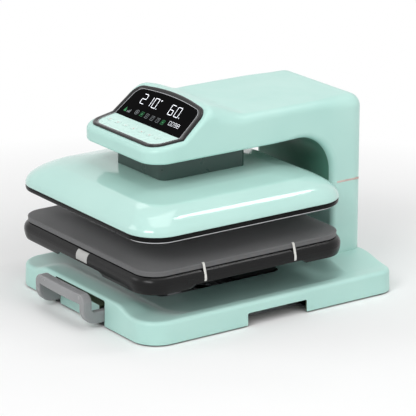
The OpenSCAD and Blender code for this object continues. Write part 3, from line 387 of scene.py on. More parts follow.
# Rounded rectangle, anticlockwise from its front left; the rear corners may have a radius of their own
def outline(hx, y0, y1, radius, rearRadius=None, corner=24, across=24, along=24):
    rear = radius if rearRadius is None else rearRadius
    depth = y1 - y0 - radius - rear
    return ([((hx - radius) * (2 * k / across - 1), y0) for k in range(across)]
            + cornerArc(hx - radius, y0 + radius, radius, -90, corner)
            + [(hx, y0 + radius + depth * k / along) for k in range(along)]
            + cornerArc(hx - rear, y1 - rear, rear, 0, corner)
            + [((hx - rear) * (1 - 2 * k / across), y1) for k in range(across)]
            + cornerArc(rear - hx, y1 - rear, rear, 90, corner)
            + [(-hx, y1 - rear - depth * k / along) for k in range(along)]
            + cornerArc(radius - hx, y0 + radius, radius, 180, corner))


def level(points, z):
    return [(p[0], p[1], z) for p in points]


# Faces between rings of equal length; the end rings are capped, left open or joined to each other
def skinOver(rings, ends="capped"):
    count, total = len(rings[0]), len(rings)
    faces = []
    for r in range(total if ends == "joined" else total - 1):
        a, b = r * count, (r + 1) % total * count
        faces += [(a + k, a + (k + 1) % count, b + (k + 1) % count, b + k) for k in range(count)]
    if ends == "capped":
        faces += [tuple(range(count))[::-1], tuple(range((total - 1) * count, total * count))]
    return [p for ring in rings for p in ring], faces


def smoothMesh(mesh, sharp):
    mesh.shade_smooth()
    mesh.set_sharp_from_angle(angle=math.radians(sharp))


def makePiece(name, points, faces, sharp=32):
    mesh = bpy.data.meshes.new(name)
    mesh.from_pydata(toMetres(points), [], faces)
    work = bmesh.new()
    work.from_mesh(mesh)
    bmesh.ops.remove_doubles(work, verts=work.verts, dist=1e-6)
    bmesh.ops.recalc_face_normals(work, faces=work.faces)
    work.to_mesh(mesh)
    work.free()
    smoothMesh(mesh, sharp)
    piece = bpy.data.objects.new(name, mesh)
    scene.collection.objects.link(piece)
    return piece


def makeSkin(name, rings, ends="capped", sharp=32):
    return makePiece(name, *skinOver(rings, ends), sharp)


# Straight block on a flat outline; axis is the way it is drawn out
def makeBlock(name, shape, axis, low, high):
    order = {"x": (2, 0, 1), "y": (0, 2, 1), "z": (0, 1, 2)}[axis]
    return makeSkin(name, [[tuple((a, b, c)[n] for n in order) for a, b in shape] for c in (low, high)])


# One piece of flat shapes, each drawn out between two heights on a tilted plane
def makeSigns(name, shapes, tilt, low, high, x0=0.0, y0=0.0):
    points, faces = [], []
    for shape in shapes:
        solid, sides = skinOver([[onPlane(tilt, x0 + x, y0 + y, height) for x, y in shape] for height in (low, high)])
        faces += [tuple(index + len(points) for index in side) for side in sides]
        points += solid
    return makePiece(name, points, faces)


# Takes the tools out of a piece, or joins them to it, and removes them
def carve(piece, tools, operation="DIFFERENCE", sharp=32):
    for tool in tools:
        step = piece.modifiers.new("carve", "BOOLEAN")
        step.operation, step.solver, step.object = operation, "MANIFOLD", tool
    bpy.context.view_layer.update()
    carved = bpy.data.meshes.new_from_object(piece.evaluated_get(bpy.context.evaluated_depsgraph_get()))
    piece.modifiers.clear()
    piece.data = carved
    carved.name = piece.name
    for tool in tools:
        bpy.data.objects.remove(tool)
    smoothMesh(carved, sharp)


def dress(piece, body, finish, slot, *nodes):
    piece.data.materials.clear()
    piece.data.materials.append(finishes[finish])
    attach(piece, body)
    if nodes:
        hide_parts(*nodes)
    return piece


def boxCorners(x0, y0, x1, y1):
    return [(x0, y0), (x1, y0), (x1, y1), (x0, y1)]


def roundBox(box, radius, count=6):
    corners, made = boxCorners(*box), []
    for k, corner in enumerate(corners):
        here = Vector(corner)
        start, end = (here + (Vector(corners[n % 4]) - here).normalized() * radius for n in (k - 1, k + 1))
        for t in (step / count for step in range(count + 1)):
            made.append(tuple((1 - t) ** 2 * start + 2 * t * (1 - t) * here + t * t * end))
    return made


# Base: a dished pan with a hump behind the handle and a deck round the column
# dishGrow: insets at the side, front and rear and the two corner radii, each at the rim and what it gains to the floor
# slot: half width, front, rear, corner; column: half width, front, rear, corners
base = {"halfWidth": 201, "depth": 491, "corner": 44, "rearCorner": 30, "skirtLow": 2, "tuck": 3.6,
        "lip": ((1.2, 0), (0.25, 0.5)), "rimTop": 40, "rimFlat": 12, "hump": 10, "humpFade": ((106, 148), (20, 95)),
        "deck": 12, "deckFade": ((111, 179), (383, 415)), "dish": 11, "edge": 7, "draft": 0.8, "skin": 3,
        "dishGrow": ((16, 32), (16, 70), (80, 30), (28, 18), (14, 32)),
        "slot": (73, 107, 348, 14), "column": (109, 425, 491, 9, 24), "columnGap": 0.3, "columnCut": (46, 80),
        "pocket": (33.5, 45), "pocketHalf": 74.5, "pocketBack": 14, "liner": (31, 46.4, 2.6), "linerWall": 3,
        "legSlot": (58.5, 74.5, 34.5), "notch": (190, 306, 23), "notchDeep": 12, "innerTop": 38,
        "pocketRound": 4, "notchRound": 3, "cutPast": 6}


def baseLift(x, y):
    (humpX, humpY), (deckX, deckY) = base["humpFade"], base["deckFade"]
    hump = (1 - ease(*humpX, abs(x))) * (1 - ease(*humpY, y))
    deck = (1 - ease(*deckX, abs(x))) * ease(*deckY, y)
    return base["hump"] * hump + base["deck"] * deck


def panRing(side, front, rear, corner, rearCorner, z, lift):
    flat = outline(base["halfWidth"] - side, front, base["depth"] - rear, corner, rearCorner, 18, 56, 30)
    return [(x, y, z + lift * baseLift(x, y)) for x, y in flat]


def evenRing(inset, z, lift):
    return panRing(inset, inset, inset, base["corner"] - inset, base["rearCorner"] - inset, z, lift)


# The dish falls late at the front, where the hump is
def dishRing(t, drop):
    s = ease(0, 1, t)
    sizes = [start + gain * share for (start, gain), share in zip(base["dishGrow"], (t, math.sqrt(t), t, t, t))]
    return panRing(*sizes, base["rimTop"] - base["dish"] * s - drop, 1 - s)


def slotRing(z):
    half, front, rear, corner = base["slot"]
    return panRing(base["halfWidth"] - half, front, base["depth"] - rear, corner, corner, z, 0)


def columnShape(grow):
    half, y0, y1, front, rear = base["column"]
    corners = [(half - front, y0 + front, front, -90, 8), (half - rear, y1 - rear, rear, 0, 12),
               (rear - half, y1 - rear, rear, 90, 12), (front - half, y0 + front, front, 180, 8)]
    return [p for x, y, radius, start, count in corners
            for p in arcPoints(x, y, radius + grow, [start + 90 * k / count for k in range(count + 1)])]


def panRings():
    top, skin, edge, draft = base["rimTop"], base["skin"], base["edge"], base["draft"]
    low, tuck, dishLow = base["skirtLow"], base["tuck"], top - base["dish"]
    rings = [evenRing(inset, low + rise, 0) for inset, rise in base["lip"]] + [evenRing(0, tuck, 0)]
    rings += [evenRing(draft * t, tuck + (top - edge - tuck) * t, t) for t in (0.25, 0.5, 0.75, 1)]
    rings += [evenRing(draft + edge * (1 - c), top - edge * (1 - s), 1) for c, s in map(polar, range(10, 91, 10))]
    rings += [evenRing(base["rimFlat"], top, 1)] + [dishRing(t / 24, 0) for t in range(25)]
    rings += [slotRing(dishLow), slotRing(dishLow - skin)]
    rings += [dishRing(t, skin) for t in (1, 0.8, 0.6, 0.4, 0.2, 0)]
    return rings + [evenRing(skin + 2, top - skin, 1), evenRing(skin + draft, top - edge, 1), evenRing(skin, low, 0)]


def buildBasePan():
    pan = makeSkin("basePanShell", panRings(), "joined")
    half, back, wall, past = base["pocketHalf"], base["pocketBack"], base["linerWall"], base["cutPast"]
    linerLow, linerTop, linerFront = base["liner"]
    # lining behind the finger pocket, then the pocket, leg slots, finger holds and column opening
    lining = boxCorners(-half - wall, linerLow, half + wall, linerTop)
    carve(pan, [makeBlock("pocketLiner", lining, "y", linerFront, back + wall)], "UNION")
    low, high = base["pocket"]
    cutters = [makeBlock("cutPocket", roundBox((-half, low, half, high), base["pocketRound"]), "y", -past, back)]
    inner, outer, legTop = base["legSlot"]
    y0, y1, tall = base["notch"]
    for side in (-1, 1):
        a, b = sorted((side * inner, side * outer))
        cutters.append(makeBlock("cutLeg", boxCorners(a, -past, b, legTop), "y", -past, back))
        x0, x1 = sorted((side * (base["halfWidth"] - base["notchDeep"]), side * (base["halfWidth"] + past)))
        cutters.append(makeBlock("cutNotch", roundBox((y0, -past, y1, tall), base["notchRound"]), "x", x0, x1))
    cutters.append(makeBlock("cutColumn", columnShape(base["columnGap"]), "z", *base["columnCut"]))
    carve(pan, cutters)
    dress(pan, "chassis", "mintSatin", "mint_shell", "base_pan")
    # painted shade: the inside of the pan and of the handle's pocket is coloured dark olive, where shade falls
    pan.data.materials.append(finishes["paintedShadeInside"])
    for face in pan.data.polygons:
        x, y, z = face.center[0] * 1000, face.center[1] * 1000 - frontShift, face.center[2] * 1000
        nx, ny, nz = face.normal
        pocketed = abs(x) < half + 0.5 and 1.5 < y < back + 1.5 and z < 46 and (ny > -0.5 or y > back - 1)
        inward = nx * x + ny * (y - base["depth"] / 2) < 0 and abs(nz) < 0.5
        face.material_index = 1 if pocketed or (z < base["innerTop"] and (inward or nz < -0.3)) else 0


buildBasePan()
print("base built")

# Arm cover: a moulded head and hood that bends down into the column
# edgeFade: where the head's edge grows into the arm's, the hood's edge ends and the rear's begins
arm = {"half": 109, "front": 69, "low": 261.5, "top": 318, "hood": 20.5, "columnFront": 425, "bend": 67, "seam": 177,
       "rear": 491, "frontCorner": 38, "rearCorner": 24, "edge": 13, "headEdge": 8, "hoodEdge": 28, "rearEdge": 22,
       "edgeFade": ((168, 205), (215, 275), (390, 465)), "knee": (133, 294), "keyTilt": 7.0, "displayTilt": 39.5,
       "hoodFade": (190, 262), "skin": 3, "ridgeSoft": 5.0, "hem": (4.0, 11.0), "hemFade": (300, 385),
       "underSkin": (0.05, 2.4), "neckGap": 1.5, "neckCut": (-5, 8), "innerInsets": (36, 24, 13, 6),
       "hemTurns": (72, 54, 36, 18, 0), "sideShares": (0.03, 0.1, 0.3, 0.6, 0.85, 0.96),
       "insets": (0, 0.3, 0.8, 1.6, 2.8, 4.4, 6.4, 9, 12, 15.5, 19.5, 24, 29, 36)}


def armProfile(y):
    kneeY, kneeZ = arm["knee"]
    tilt = arm["keyTilt"] if y < kneeY else arm["displayTilt"]
    slope = kneeZ + (y - kneeY) * math.tan(math.radians(tilt))
    over = arm["top"] + arm["hood"] * (1 - ease(*arm["hoodFade"], y))
    soft = max(arm["ridgeSoft"] - abs(slope - over), 0.0) / arm["ridgeSoft"]
    return min(slope, over) - soft * soft * arm["ridgeSoft"] / 4


def armEdge(y):
    head, hood, rear = arm["edgeFade"]
    behind = ease(*head, y)
    return (arm["headEdge"] + (arm["edge"] - arm["headEdge"]) * behind
            + (arm["hoodEdge"] - arm["edge"]) * behind * (1 - ease(*hood, y))
            + (arm["rearEdge"] - arm["edge"]) * ease(*rear, y))


def armLower(y):
    bendY, bendZ = arm["columnFront"] - arm["bend"], arm["low"] - arm["bend"]
    if y <= bendY:
        return arm["low"]
    if y > arm["columnFront"]:
        return arm["seam"]
    return bendZ + math.sqrt(max(0.0, arm["bend"] ** 2 - (y - bendY) ** 2))


# Closer together where the profile turns
def armStations():
    kneeY, bendY = arm["knee"][0], arm["columnFront"] - arm["bend"]
    made = [kneeY + step for step in (-20, -12, -6, -2, 0, 2)] + [kneeY + 2 + 4.5 * k for k in range(1, 10)]
    made += [176, 179, 182, 184, 186, 188, 190, 192, 195, 198] + [198 + 4 * k for k in range(1, 18)]
    made += [275, 290, 310, 335, bendY] + [bendY + arm["bend"] * polar(a)[1] for a in range(5, 91, 5)]
    return made + [arm["columnFront"] + 6, 446]


def armHalf(inset):
    half, front, rear = arm["half"], arm["frontCorner"], max(1.0, arm["rearCorner"] - inset)
    return (arcPoints(half - front, arm["front"] + front, front - inset, [-90 + 90 * k / 24 for k in range(25)])
            + [(half - inset, y) for y in armStations()]
            + arcPoints(half - inset - rear, arm["rear"] - inset - rear, rear, range(0, 91, 6)))


def wholeRing(half):
    return half + [(-x, y, z) for x, y, z in reversed(half)]


# Rolled lower edge, wider round the bend; none at the seam with the column
def hemRadius(y):
    if y > arm["columnFront"] + 10:
        return 0.0
    narrow, wide = arm["hem"]
    return narrow + (wide - narrow) * ease(*arm["hemFade"], y)


def bendNormal(y):
    lean = ramp((y - arm["columnFront"] + arm["bend"]) / arm["bend"])
    return lean, math.sqrt(1 - lean * lean)


# Stations round the bend keep clear of each other when the upper rings move back with the rolled edge
def armRing(inset, drop, less):
    half = [(x, y + bendNormal(y)[0] * hemRadius(y)) for x, y in armHalf(inset)]
    return wholeRing([(x, y, armProfile(y) - drop - edgeDrop(inset - drop, armEdge(y) - less)) for x, y in half])


# A ring of the lower edge: inset from the side and distance up from the edge, each set by the roll's radius
def armHem(insetOf, liftOf):
    half = []
    frontRing, rearRing = armHalf(insetOf(arm["hem"][0])), armHalf(insetOf(0.0))
    for (_, y), frontPlace, rearPlace in zip(armHalf(0), frontRing, rearRing):
        radius = hemRadius(y)
        lean, rise = bendNormal(y) if radius else (0.0, 1.0)
        lift = liftOf(radius)
        place = (arm["half"] - insetOf(radius), y)
        if y < arm["front"] + arm["frontCorner"] + 0.01:
            place = frontPlace
        elif y >= arm["rear"] - arm["rearCorner"]:
            place = rearPlace
        edgeY = min(place[1], arm["columnFront"]) if radius else place[1]
        half.append((place[0], edgeY + lean * lift, armLower(y) + rise * lift))
    return wholeRing(half)


def bridge(count, start):
    return [(start + k, start + k + 1, start + count - 2 - k, start + count - 1 - k) for k in range(count // 2 - 1)]


def onPlane(tilt, x, y, z):
    c, s = polar(tilt)
    return (x, arm["knee"][0] + y * c - z * s, arm["knee"][1] + y * s + z * c)


# Outlines on the key and display planes, of the frame and its window: half width at the knee, then half width,
# reach and corner towards the front (-1) and the top (1), and the rise of the arched top
# cuts in the cover: outline, growth, lower and upper end
panel = {"frame": {"knee": 103, -1: (98, 54, 26), 1: (100, 65.5, 24), "arch": 6.5},
         "window": {"knee": 93, -1: (89.5, 46, 21), 1: (89.5, 58.5, 17), "arch": 4.5},
         "planes": ((-1, arm["keyTilt"]), (1, arm["displayTilt"])), "kneeGap": 0.6,
         "cuts": (("frame", 0.15, -1.3, 20), ("window", -3, -9, 5))}


# Right side of one plane's outline, from the knee to the middle
def panelSide(which, grow, sign, count=16):
    half, reach, corner = panel[which][sign]
    cx, cy, r = half - corner, sign * (reach - corner), corner + grow
    knee = panel[which]["knee"] + grow
    # straight line from the knee that touches the corner's circle
    dx, dy = cx - knee, cy
    far = math.hypot(dx, dy)
    along = math.atan2(dy, dx) - sign * math.asin(r / far)
    reachLine = math.sqrt(far * far - r * r)
    tx, ty = knee + reachLine * math.cos(along), reachLine * math.sin(along)
    arch = panel[which]["arch"] if sign > 0 else 0.0
    start, end = math.atan2(ty - cy, tx - cx), math.radians(90 * sign) - math.atan(2 * arch / cx)
    arc = [start + (end - start) * k / count for k in range(count + 1)]
    crown = [(cx * k / 12, cy + r * sign + arch * (1 - (k / 12) ** 2)) for k in range(11, -1, -1)]
    return ([(knee, 0.0)] + [(knee + (tx - knee) * t, ty * t) for t in (0.33, 0.66)]
            + [(cx + r * math.cos(a), cy + r * math.sin(a)) for a in arc] + crown)


def planeLoop(which, grow, sign, kneeShift):
    right = panelSide(which, grow, sign)
    right[0] = (right[0][0], sign * kneeShift)
    return right + [(-x, y) for x, y in reversed(right[:-1])]


def buildArmCover():
    skin = arm["skin"]
    rings = [armRing(i, skin, skin) for i in (*arm["innerInsets"], skin)]
    rings += [armHem(lambda r: skin, lambda r: r + 2), armHem(lambda r: max(r, skin), lambda r: 2.5 if r else 0.5),
              armHem(lambda r: r if r else skin, lambda r: 0.0)]
    for c, s in map(polar, arm["hemTurns"]):
        rings.append(armHem(lambda r: r * (1 - c), lambda r: r * (1 - s)))
    hem, edge = rings[-1], armRing(0, 0, 0)
    rings += [[tuple(Vector(a).lerp(Vector(b), t)) for a, b in zip(hem, edge)] for t in arm["sideShares"]]
    rings += [armRing(i, 0, 0) for i in arm["insets"]]
    count = len(rings[0])
    points, faces = skinOver(rings, "open")
    cover = makePiece("armCoverShell", points, faces + bridge(count, 0) + bridge(count, (len(rings) - 1) * count))
    cutters = []
    for sign, tilt in panel["planes"]:
        for which, grow, low, high in panel["cuts"]:
            loop = planeLoop(which, grow, sign, -panel["kneeGap"])
            cutters.append(makeSkin("cutSeat", [[onPlane(tilt, x, y, z) for x, y in loop] for z in (low, high)]))
    carve(cover, cutters)
    dress(cover, "chassis", "mintSatin", "mint_shell", "arm_cover")


# Underside of the arm, round the bend and down to the seam, with the neck's opening
def buildArmBottom():
    front, corner, hem, columnFront = arm["front"], arm["frontCorner"], arm["hem"][0], arm["columnFront"]
    ys = [front + hem + (corner - hem) * (1 - polar(6 * k)[0]) for k in range(1, 15)]
    ys += [y for y in armStations() if ys[-1] < y <= columnFront] + [columnFront + 0.1]
    rings = []
    for y in ys:
        lean, rise = bendNormal(y)
        wide = arm["half"] - hemRadius(y)
        if y < front + corner:
            wide = arm["half"] - corner + math.sqrt(max(0.0, (corner - hem) ** 2 - (front + corner - y) ** 2))
        z = armLower(y) if y <= columnFront else arm["seam"] + 0.2
        low, high = arm["underSkin"]
        rings.append([(side * wide, y + lean * t, z + rise * t)
                      for side, t in ((-1, low), (1, low), (1, high), (-1, high))])
    under = makeSkin("armUnderside", rings)
    low, high = (arm["low"] + past for past in arm["neckCut"])
    carve(under, [makeBlock("cutNeck", neckLoop(arm["neckGap"]), "z", low, high)])
    # the underside takes the darker mint: painted shade under the arm
    dress(under, "chassis", "mintPaintedShade", "mint_shell", "arm_bottom_cover")


buildArmCover()
print("arm cover built")

# Bezel: one bevelled frame that bends at the knee, with a bright line inside
# Rows: share of the way from the outer edge to the window, and height over the plane
bezel = {"section": [(0, -1.25), (0, 1.5), (0.03, 2.2), (0.08, 2.75), (0.16, 3.15), (0.26, 3.36), (0.36, 3.4),
                     (0.48, 3.3), (0.62, 3.0), (0.76, 2.6), (0.86, 2.35), (0.9, 2.3), (0.985, 2.3), (1, 2.15),
                     (1, -1.25)],
         "line": [(0.89, 2.2), (0.89, 2.4), (0.94, 2.48), (0.98, 2.42), (0.98, 2.2)]}


# Where the two planes meet when both are raised
def kneePoint(x, height):
    (keyCos, keySin), (displayCos, displaySin) = polar(arm["keyTilt"]), polar(arm["displayTilt"])
    det = displaySin * keyCos - keySin * displayCos
    return (x, arm["knee"][0] + height * (displayCos - keyCos) / det,
            arm["knee"][1] + height * (displaySin - keySin) / det)


def bezelRing(share, height):
    sides = []
    for sign, tilt in panel["planes"]:
        pair = zip(panelSide("frame", 0, sign)[1:], panelSide("window", 0, sign)[1:])
        sides.append([onPlane(tilt, a[0] + (b[0] - a[0]) * share, a[1] + (b[1] - a[1]) * share, height)
                      for a, b in pair])
    front, rear = sides
    knee = kneePoint(panel["frame"]["knee"] + (panel["window"]["knee"] - panel["frame"]["knee"]) * share, height)
    return (list(reversed(front)) + [knee] + rear + [(-x, y, z) for x, y, z in reversed(rear[:-1])]
            + [(-knee[0], knee[1], knee[2])] + [(-x, y, z) for x, y, z in front[:-1]])


def buildBezel():
    band = makeSkin("panelBezelFrame", [bezelRing(*row) for row in bezel["section"]], "joined", 40)
    dress(band, "chassis", "graphite", "bezel_graphite", "panel_bezel")
    line = makeSkin("bezelInnerLine", [bezelRing(*row) for row in bezel["line"]], "joined")
    dress(line, "chassis", "groundSteel", "bright_steel")


buildBezel()
print("bezel built")

# Display: flat signs just above the window, in millimetres on its plane
# figures: text, corner x and y, width, height, stroke, pitch; box: width and height of a sign in the middle row
display = {"heights": (1.81, 1.86), "lean": -0.2, "rowY": 15.4, "box": (7.6, 8.8),
           "figures": [("210", -59.5, 32.5, 10.5, 18.6, 1.05, 16.5), ("60", 21.5, 32, 10.5, 18.8, 1.05, 17.5),
                       ("0098", 43, 15.2, 5.0, 7.2, 0.48, 7.7)],
           "dots": [(-11.8, 32.6, 1.3, 1.8), (54, 32.6, 1.3, 1.8)], "degree": (-13.5, 50, 1.5, 0.8),
           "wheelX": -47, "wheel": ((4.6, 3.9), (1.6, 0.8)), "greyX": (-18, -2, 13.5), "greyStroke": 0.5,
           "greyLines": (3.4, 17.2, 14.2), "greenX": (-32.5, 28), "greenStroke": 0.6, "greenFill": (3.0, 3.8),
           "steps": [(-70.2, 10.6, 1.8, 2.8), (-67.2, 11.5, 1.8, 4.6), (-64.2, 12.5, 1.8, 6.6)],
           "flag": [(-81.2, 9.4), (-73.6, 9.4), (-78.2, 18.2)]}
segmentEnds = {"a": (0, 2, 1, 2), "b": (1, 1, 1, 2), "c": (1, 0, 1, 1), "d": (0, 0, 1, 0), "e": (0, 0, 0, 1),
               "f": (0, 1, 0, 2), "g": (0, 1, 1, 1)}
segmentsOf = {"0": "abcdef", "1": "bc", "2": "abged", "6": "afgedc", "8": "abcdefg", "9": "abcdfg"}


def addSigns(name, shapes, finish):
    dress(makeSigns(name, shapes, arm["displayTilt"], *display["heights"]), "chassis", finish, "display_black")


# Six-sided bars of a seven-segment figure, leaning; its segments' ends in widths and half heights
def figureBars(figure, x, y, wide, tall, stroke):
    half, gap = stroke / 2, stroke * 0.16
    inset, mid, bars = gap + half, tall / 2, []
    for segment in segmentsOf[figure]:
        x0, y0, x1, y1 = (share * size for share, size in zip(segmentEnds[segment], (wide, mid, wide, mid)))
        upright = x0 == x1
        start, end = (y0, y1) if upright else (x0, x1)
        bar = [(start + gap, 0), (start + inset, -half), (end - inset, -half), (end - gap, 0), (end - inset, half),
               (start + inset, half)]
        bar = [(x0 - b, a) if upright else (a, y0 + b) for a, b in bar]
        bars.append([(x + a + b * display["lean"], y + b) for a, b in bar])
    return bars


def writeFigures(text, x, y, wide, tall, stroke, pitch):
    return [bar for k, figure in enumerate(text) for bar in figureBars(figure, x + k * pitch, y, wide, tall, stroke)]


def ringSign(x, y, outer, inner, count=28):
    turns = [360 * k / count for k in range(count)] + [0]
    far, near = arcPoints(x, y, outer, turns), arcPoints(x, y, inner, turns)
    return [[far[k], far[k + 1], near[k + 1], near[k]] for k in range(count)]


def barSign(x, y, wide, tall):
    return [boxCorners(x - wide / 2, y - tall / 2, x + wide / 2, y + tall / 2)]


def boxSign(x, y, wide, tall, stroke):
    across, up = (wide - stroke) / 2, (tall - stroke) / 2
    return (barSign(x, y - up, wide, stroke) + barSign(x, y + up, wide, stroke)
            + barSign(x - across, y, stroke, tall - 2 * stroke) + barSign(x + across, y, stroke, tall - 2 * stroke))


def buildDisplay():
    rowY, box = display["rowY"], display["box"]
    white = [bar for row in display["figures"] for bar in writeFigures(*row)] + ringSign(*display["degree"])
    addSigns("displayFigures", white + [bar for row in display["dots"] for bar in barSign(*row)], "whiteGlow")
    grey = [bar for radii in display["wheel"] for bar in ringSign(display["wheelX"], rowY, *radii)]
    (lineWide, *lineRows), stroke = display["greyLines"], display["greyStroke"]
    for x in display["greyX"]:
        grey += boxSign(x, rowY, *box, stroke) + [bar for y in lineRows for bar in barSign(x, y, lineWide, stroke)]
    addSigns("displayGreySigns", grey + [bar for row in display["steps"] for bar in barSign(*row)], "greyGlow")
    green = [display["flag"]]
    for x in display["greenX"]:
        green += boxSign(x, rowY, *box, display["greenStroke"]) + barSign(x, rowY, *display["greenFill"])
    addSigns("displayGreenSigns", green, "greenGlow")


buildDisplay()
print("display built")

# Keys: dished oval caps with a collar and stem, each with a small printed mark
# section: growth of the oval, and height over the cap's top from the collar's upper side on
keys = {"first": -73.5, "pitch": 23.0, "y": -23.5, "size": (13.0, 8.5), "top": 2.5, "collar": (3.0, -2.8, -1.6),
        "stem": (1.8, -3.7), "mark": (-0.42, -0.36),
        "section": [(0, -0.6), (-0.25, -0.2), (-0.8, 0.0), (-1.6, -0.05), (-3.0, -0.25), (-4.6, -0.38), (-6.4, -0.42)],
        "marks": [ringSign(0, 0, 1.7, 1.1, 20),
                  barSign(0, 0, 3.2, 0.7) + barSign(0, 1.05, 0.7, 1.4) + barSign(0, -1.05, 0.7, 1.4),
                  barSign(0, 0, 3.2, 0.7), [[(-1.6, -1.1), (1.6, -1.1), (0, 1.6)]],
                  [[(-1.6, 1.1), (0, -1.6), (1.6, 1.1)]], boxSign(0, 0, 3.0, 2.6, 0.6),
                  ringSign(0, 0, 1.7, 1.0, 20) + barSign(0, 0, 0.7, 0.7)]}


def ovalLoop(wide, tall, count=20):
    right = arcPoints((wide - tall) / 2, 0, tall / 2, [-90 + 180 * k / count for k in range(count + 1)])
    return right + [(-x, -y) for x, y in right]


def buildKeys():
    (wide, tall), (collar, collarLow, collarTop), (stem, stemLow) = keys["size"], keys["collar"], keys["stem"]
    tilt, top, y0 = arm["keyTilt"], keys["top"], keys["y"]
    section = [(collar, collarLow), (collar, collarTop), (0, collarTop)]
    section += [(grow, top + z) for grow, z in keys["section"]]
    for index, mark in enumerate(keys["marks"]):
        number, body = index + 1, f"button_{index + 1}"
        x0 = keys["first"] + keys["pitch"] * index

        def onKey(loop, height):
            return [onPlane(tilt, x0 + x, y0 + y, height) for x, y in loop]

        rings = [onKey(ovalLoop(wide + grow, max(0.6, tall + grow)), height) for grow, height in section]
        dress(makeSkin(f"keyCap{number}", rings, sharp=45), body, "keyWhite", "key_white", f"key_{number}")
        circle = arcPoints(0, 0, stem, range(0, 360, 15))
        rings = [onKey(circle, height) for height in (stemLow, stemLow + 0.2, collarLow + 0.1)]
        dress(makeSkin(f"keyStem{number}", rings), body, "keyWhite", "key_white")
        low, high = keys["mark"]
        sign = makeSigns(f"keyMark{number}", mark, tilt, top + low, top + high, x0, y0)
        dress(sign, body, "greenPrint" if number == len(keys["marks"]) else "redPrint", "key_white")


buildKeys()
print("keys built")

# Platen: moulded cover over a dark rim and the heated plate
# section, inner and rim: inset, and rise over the cover's or the rim's lower edge
platen = {"half": 200, "y0": -2, "y1": 396, "corner": 55, "leastCorner": 48, "coverLow": 177.5, "plateau": 222,
          "crown": 1.1, "skin": 3, "neckHalf": (70, 82), "neckCorner": 13, "neckGap": 0.5, "rimLow": 169,
          "lip": [(0.5, 0), (0.12, 0.5)],
          "section": [(0, 2), (0.6, 5), (2.2, 8.8), (5, 12.7), (9, 17.1), (14, 21.9), (20, 26.6), (30, 32.4),
                      (39, 36.2), (43, 37.3), (47, 38.1), (58, 40.2), (76, 43.4)],
          "inner": [(76, 40.4), (58, 37.2), (43, 33.2), (30, 27.4), (21.5, 21.6), (11.5, 14), (5, 7), (3, 3.5), (3, 0)],
          "rim": [(2.2, 0), (1.4, 0.4), (0.8, 1.2), (0.5, 2.4), (0.2, 4.5), (0.2, 6.9), (0.6, 8), (1.4, 8.5), (9, 8.5),
                  (9, 5.4), (5.6, 5.4), (5.6, 0)]}


# The platen's plan, drawn in by an inset
def platenPlan(inset, corner, *counts):
    return outline(platen["half"] - inset, platen["y0"] + inset, platen["y1"] - inset, corner, *counts)


def platenLoop(inset):
    return platenPlan(inset, max(platen["leastCorner"], platen["corner"] - inset))


def neckLoop(grow):
    hx, hy = platen["neckHalf"]
    yc = (platen["y0"] + platen["y1"]) / 2
    return outline(hx + grow, yc - hy - grow, yc + hy + grow, platen["neckCorner"] + grow)


# Smooth curve through a list of (inset, height) pairs
def refine(pairs, parts=5):
    made = []
    for k in range(len(pairs) - 1):
        near = pairs[max(k - 1, 0)], pairs[k], pairs[k + 1], pairs[min(k + 2, len(pairs) - 1)]
        for t in (step / parts for step in range(parts)):
            made.append(tuple(0.5 * (2 * b + (c - a) * t + (2 * a - 5 * b + 4 * c - d) * t * t
                                     + (3 * b - a - 3 * c + d) * t ** 3) for a, b, c, d in zip(*near)))
    return made + [pairs[-1]]


def mixLoops(a, b, t):
    return [(p[0] + (q[0] - p[0]) * t, p[1] + (q[1] - p[1]) * t) for p, q in zip(a, b)]


def platenRings(rows, low):
    return [level(platenLoop(inset), low + rise) for inset, rise in rows]


def buildPlatenCover():
    low, top, inside = platen["coverLow"], platen["plateau"], platen["plateau"] - platen["skin"]
    edge, neck = platenLoop(platen["section"][-1][0]), neckLoop(platen["neckGap"])
    rings = platenRings(platen["lip"] + refine(platen["section"], 4), low)
    for t in (0.1, 0.2, 0.3, 0.4, 0.5):
        rings.append(level(mixLoops(edge, neck, t), top - platen["crown"] * (1 - t / 0.5) ** 2))
    rings += [level(neck, top), level(neck, inside), level(mixLoops(edge, neck, 0.5), inside)]
    cover = makeSkin("platenCoverShell", rings + platenRings(platen["inner"], low), "joined", 50)
    dress(cover, "press_head", "mintGloss", "mint_shell", "platen_cover")
    rim = makeSkin("platenRimBand", platenRings(platen["rim"], platen["rimLow"]), "joined", 40)
    dress(rim, "press_head", "rimBlack", "rim_black", "platen_rim")


buildPlatenCover()
buildArmBottom()
print("platen and underside built")

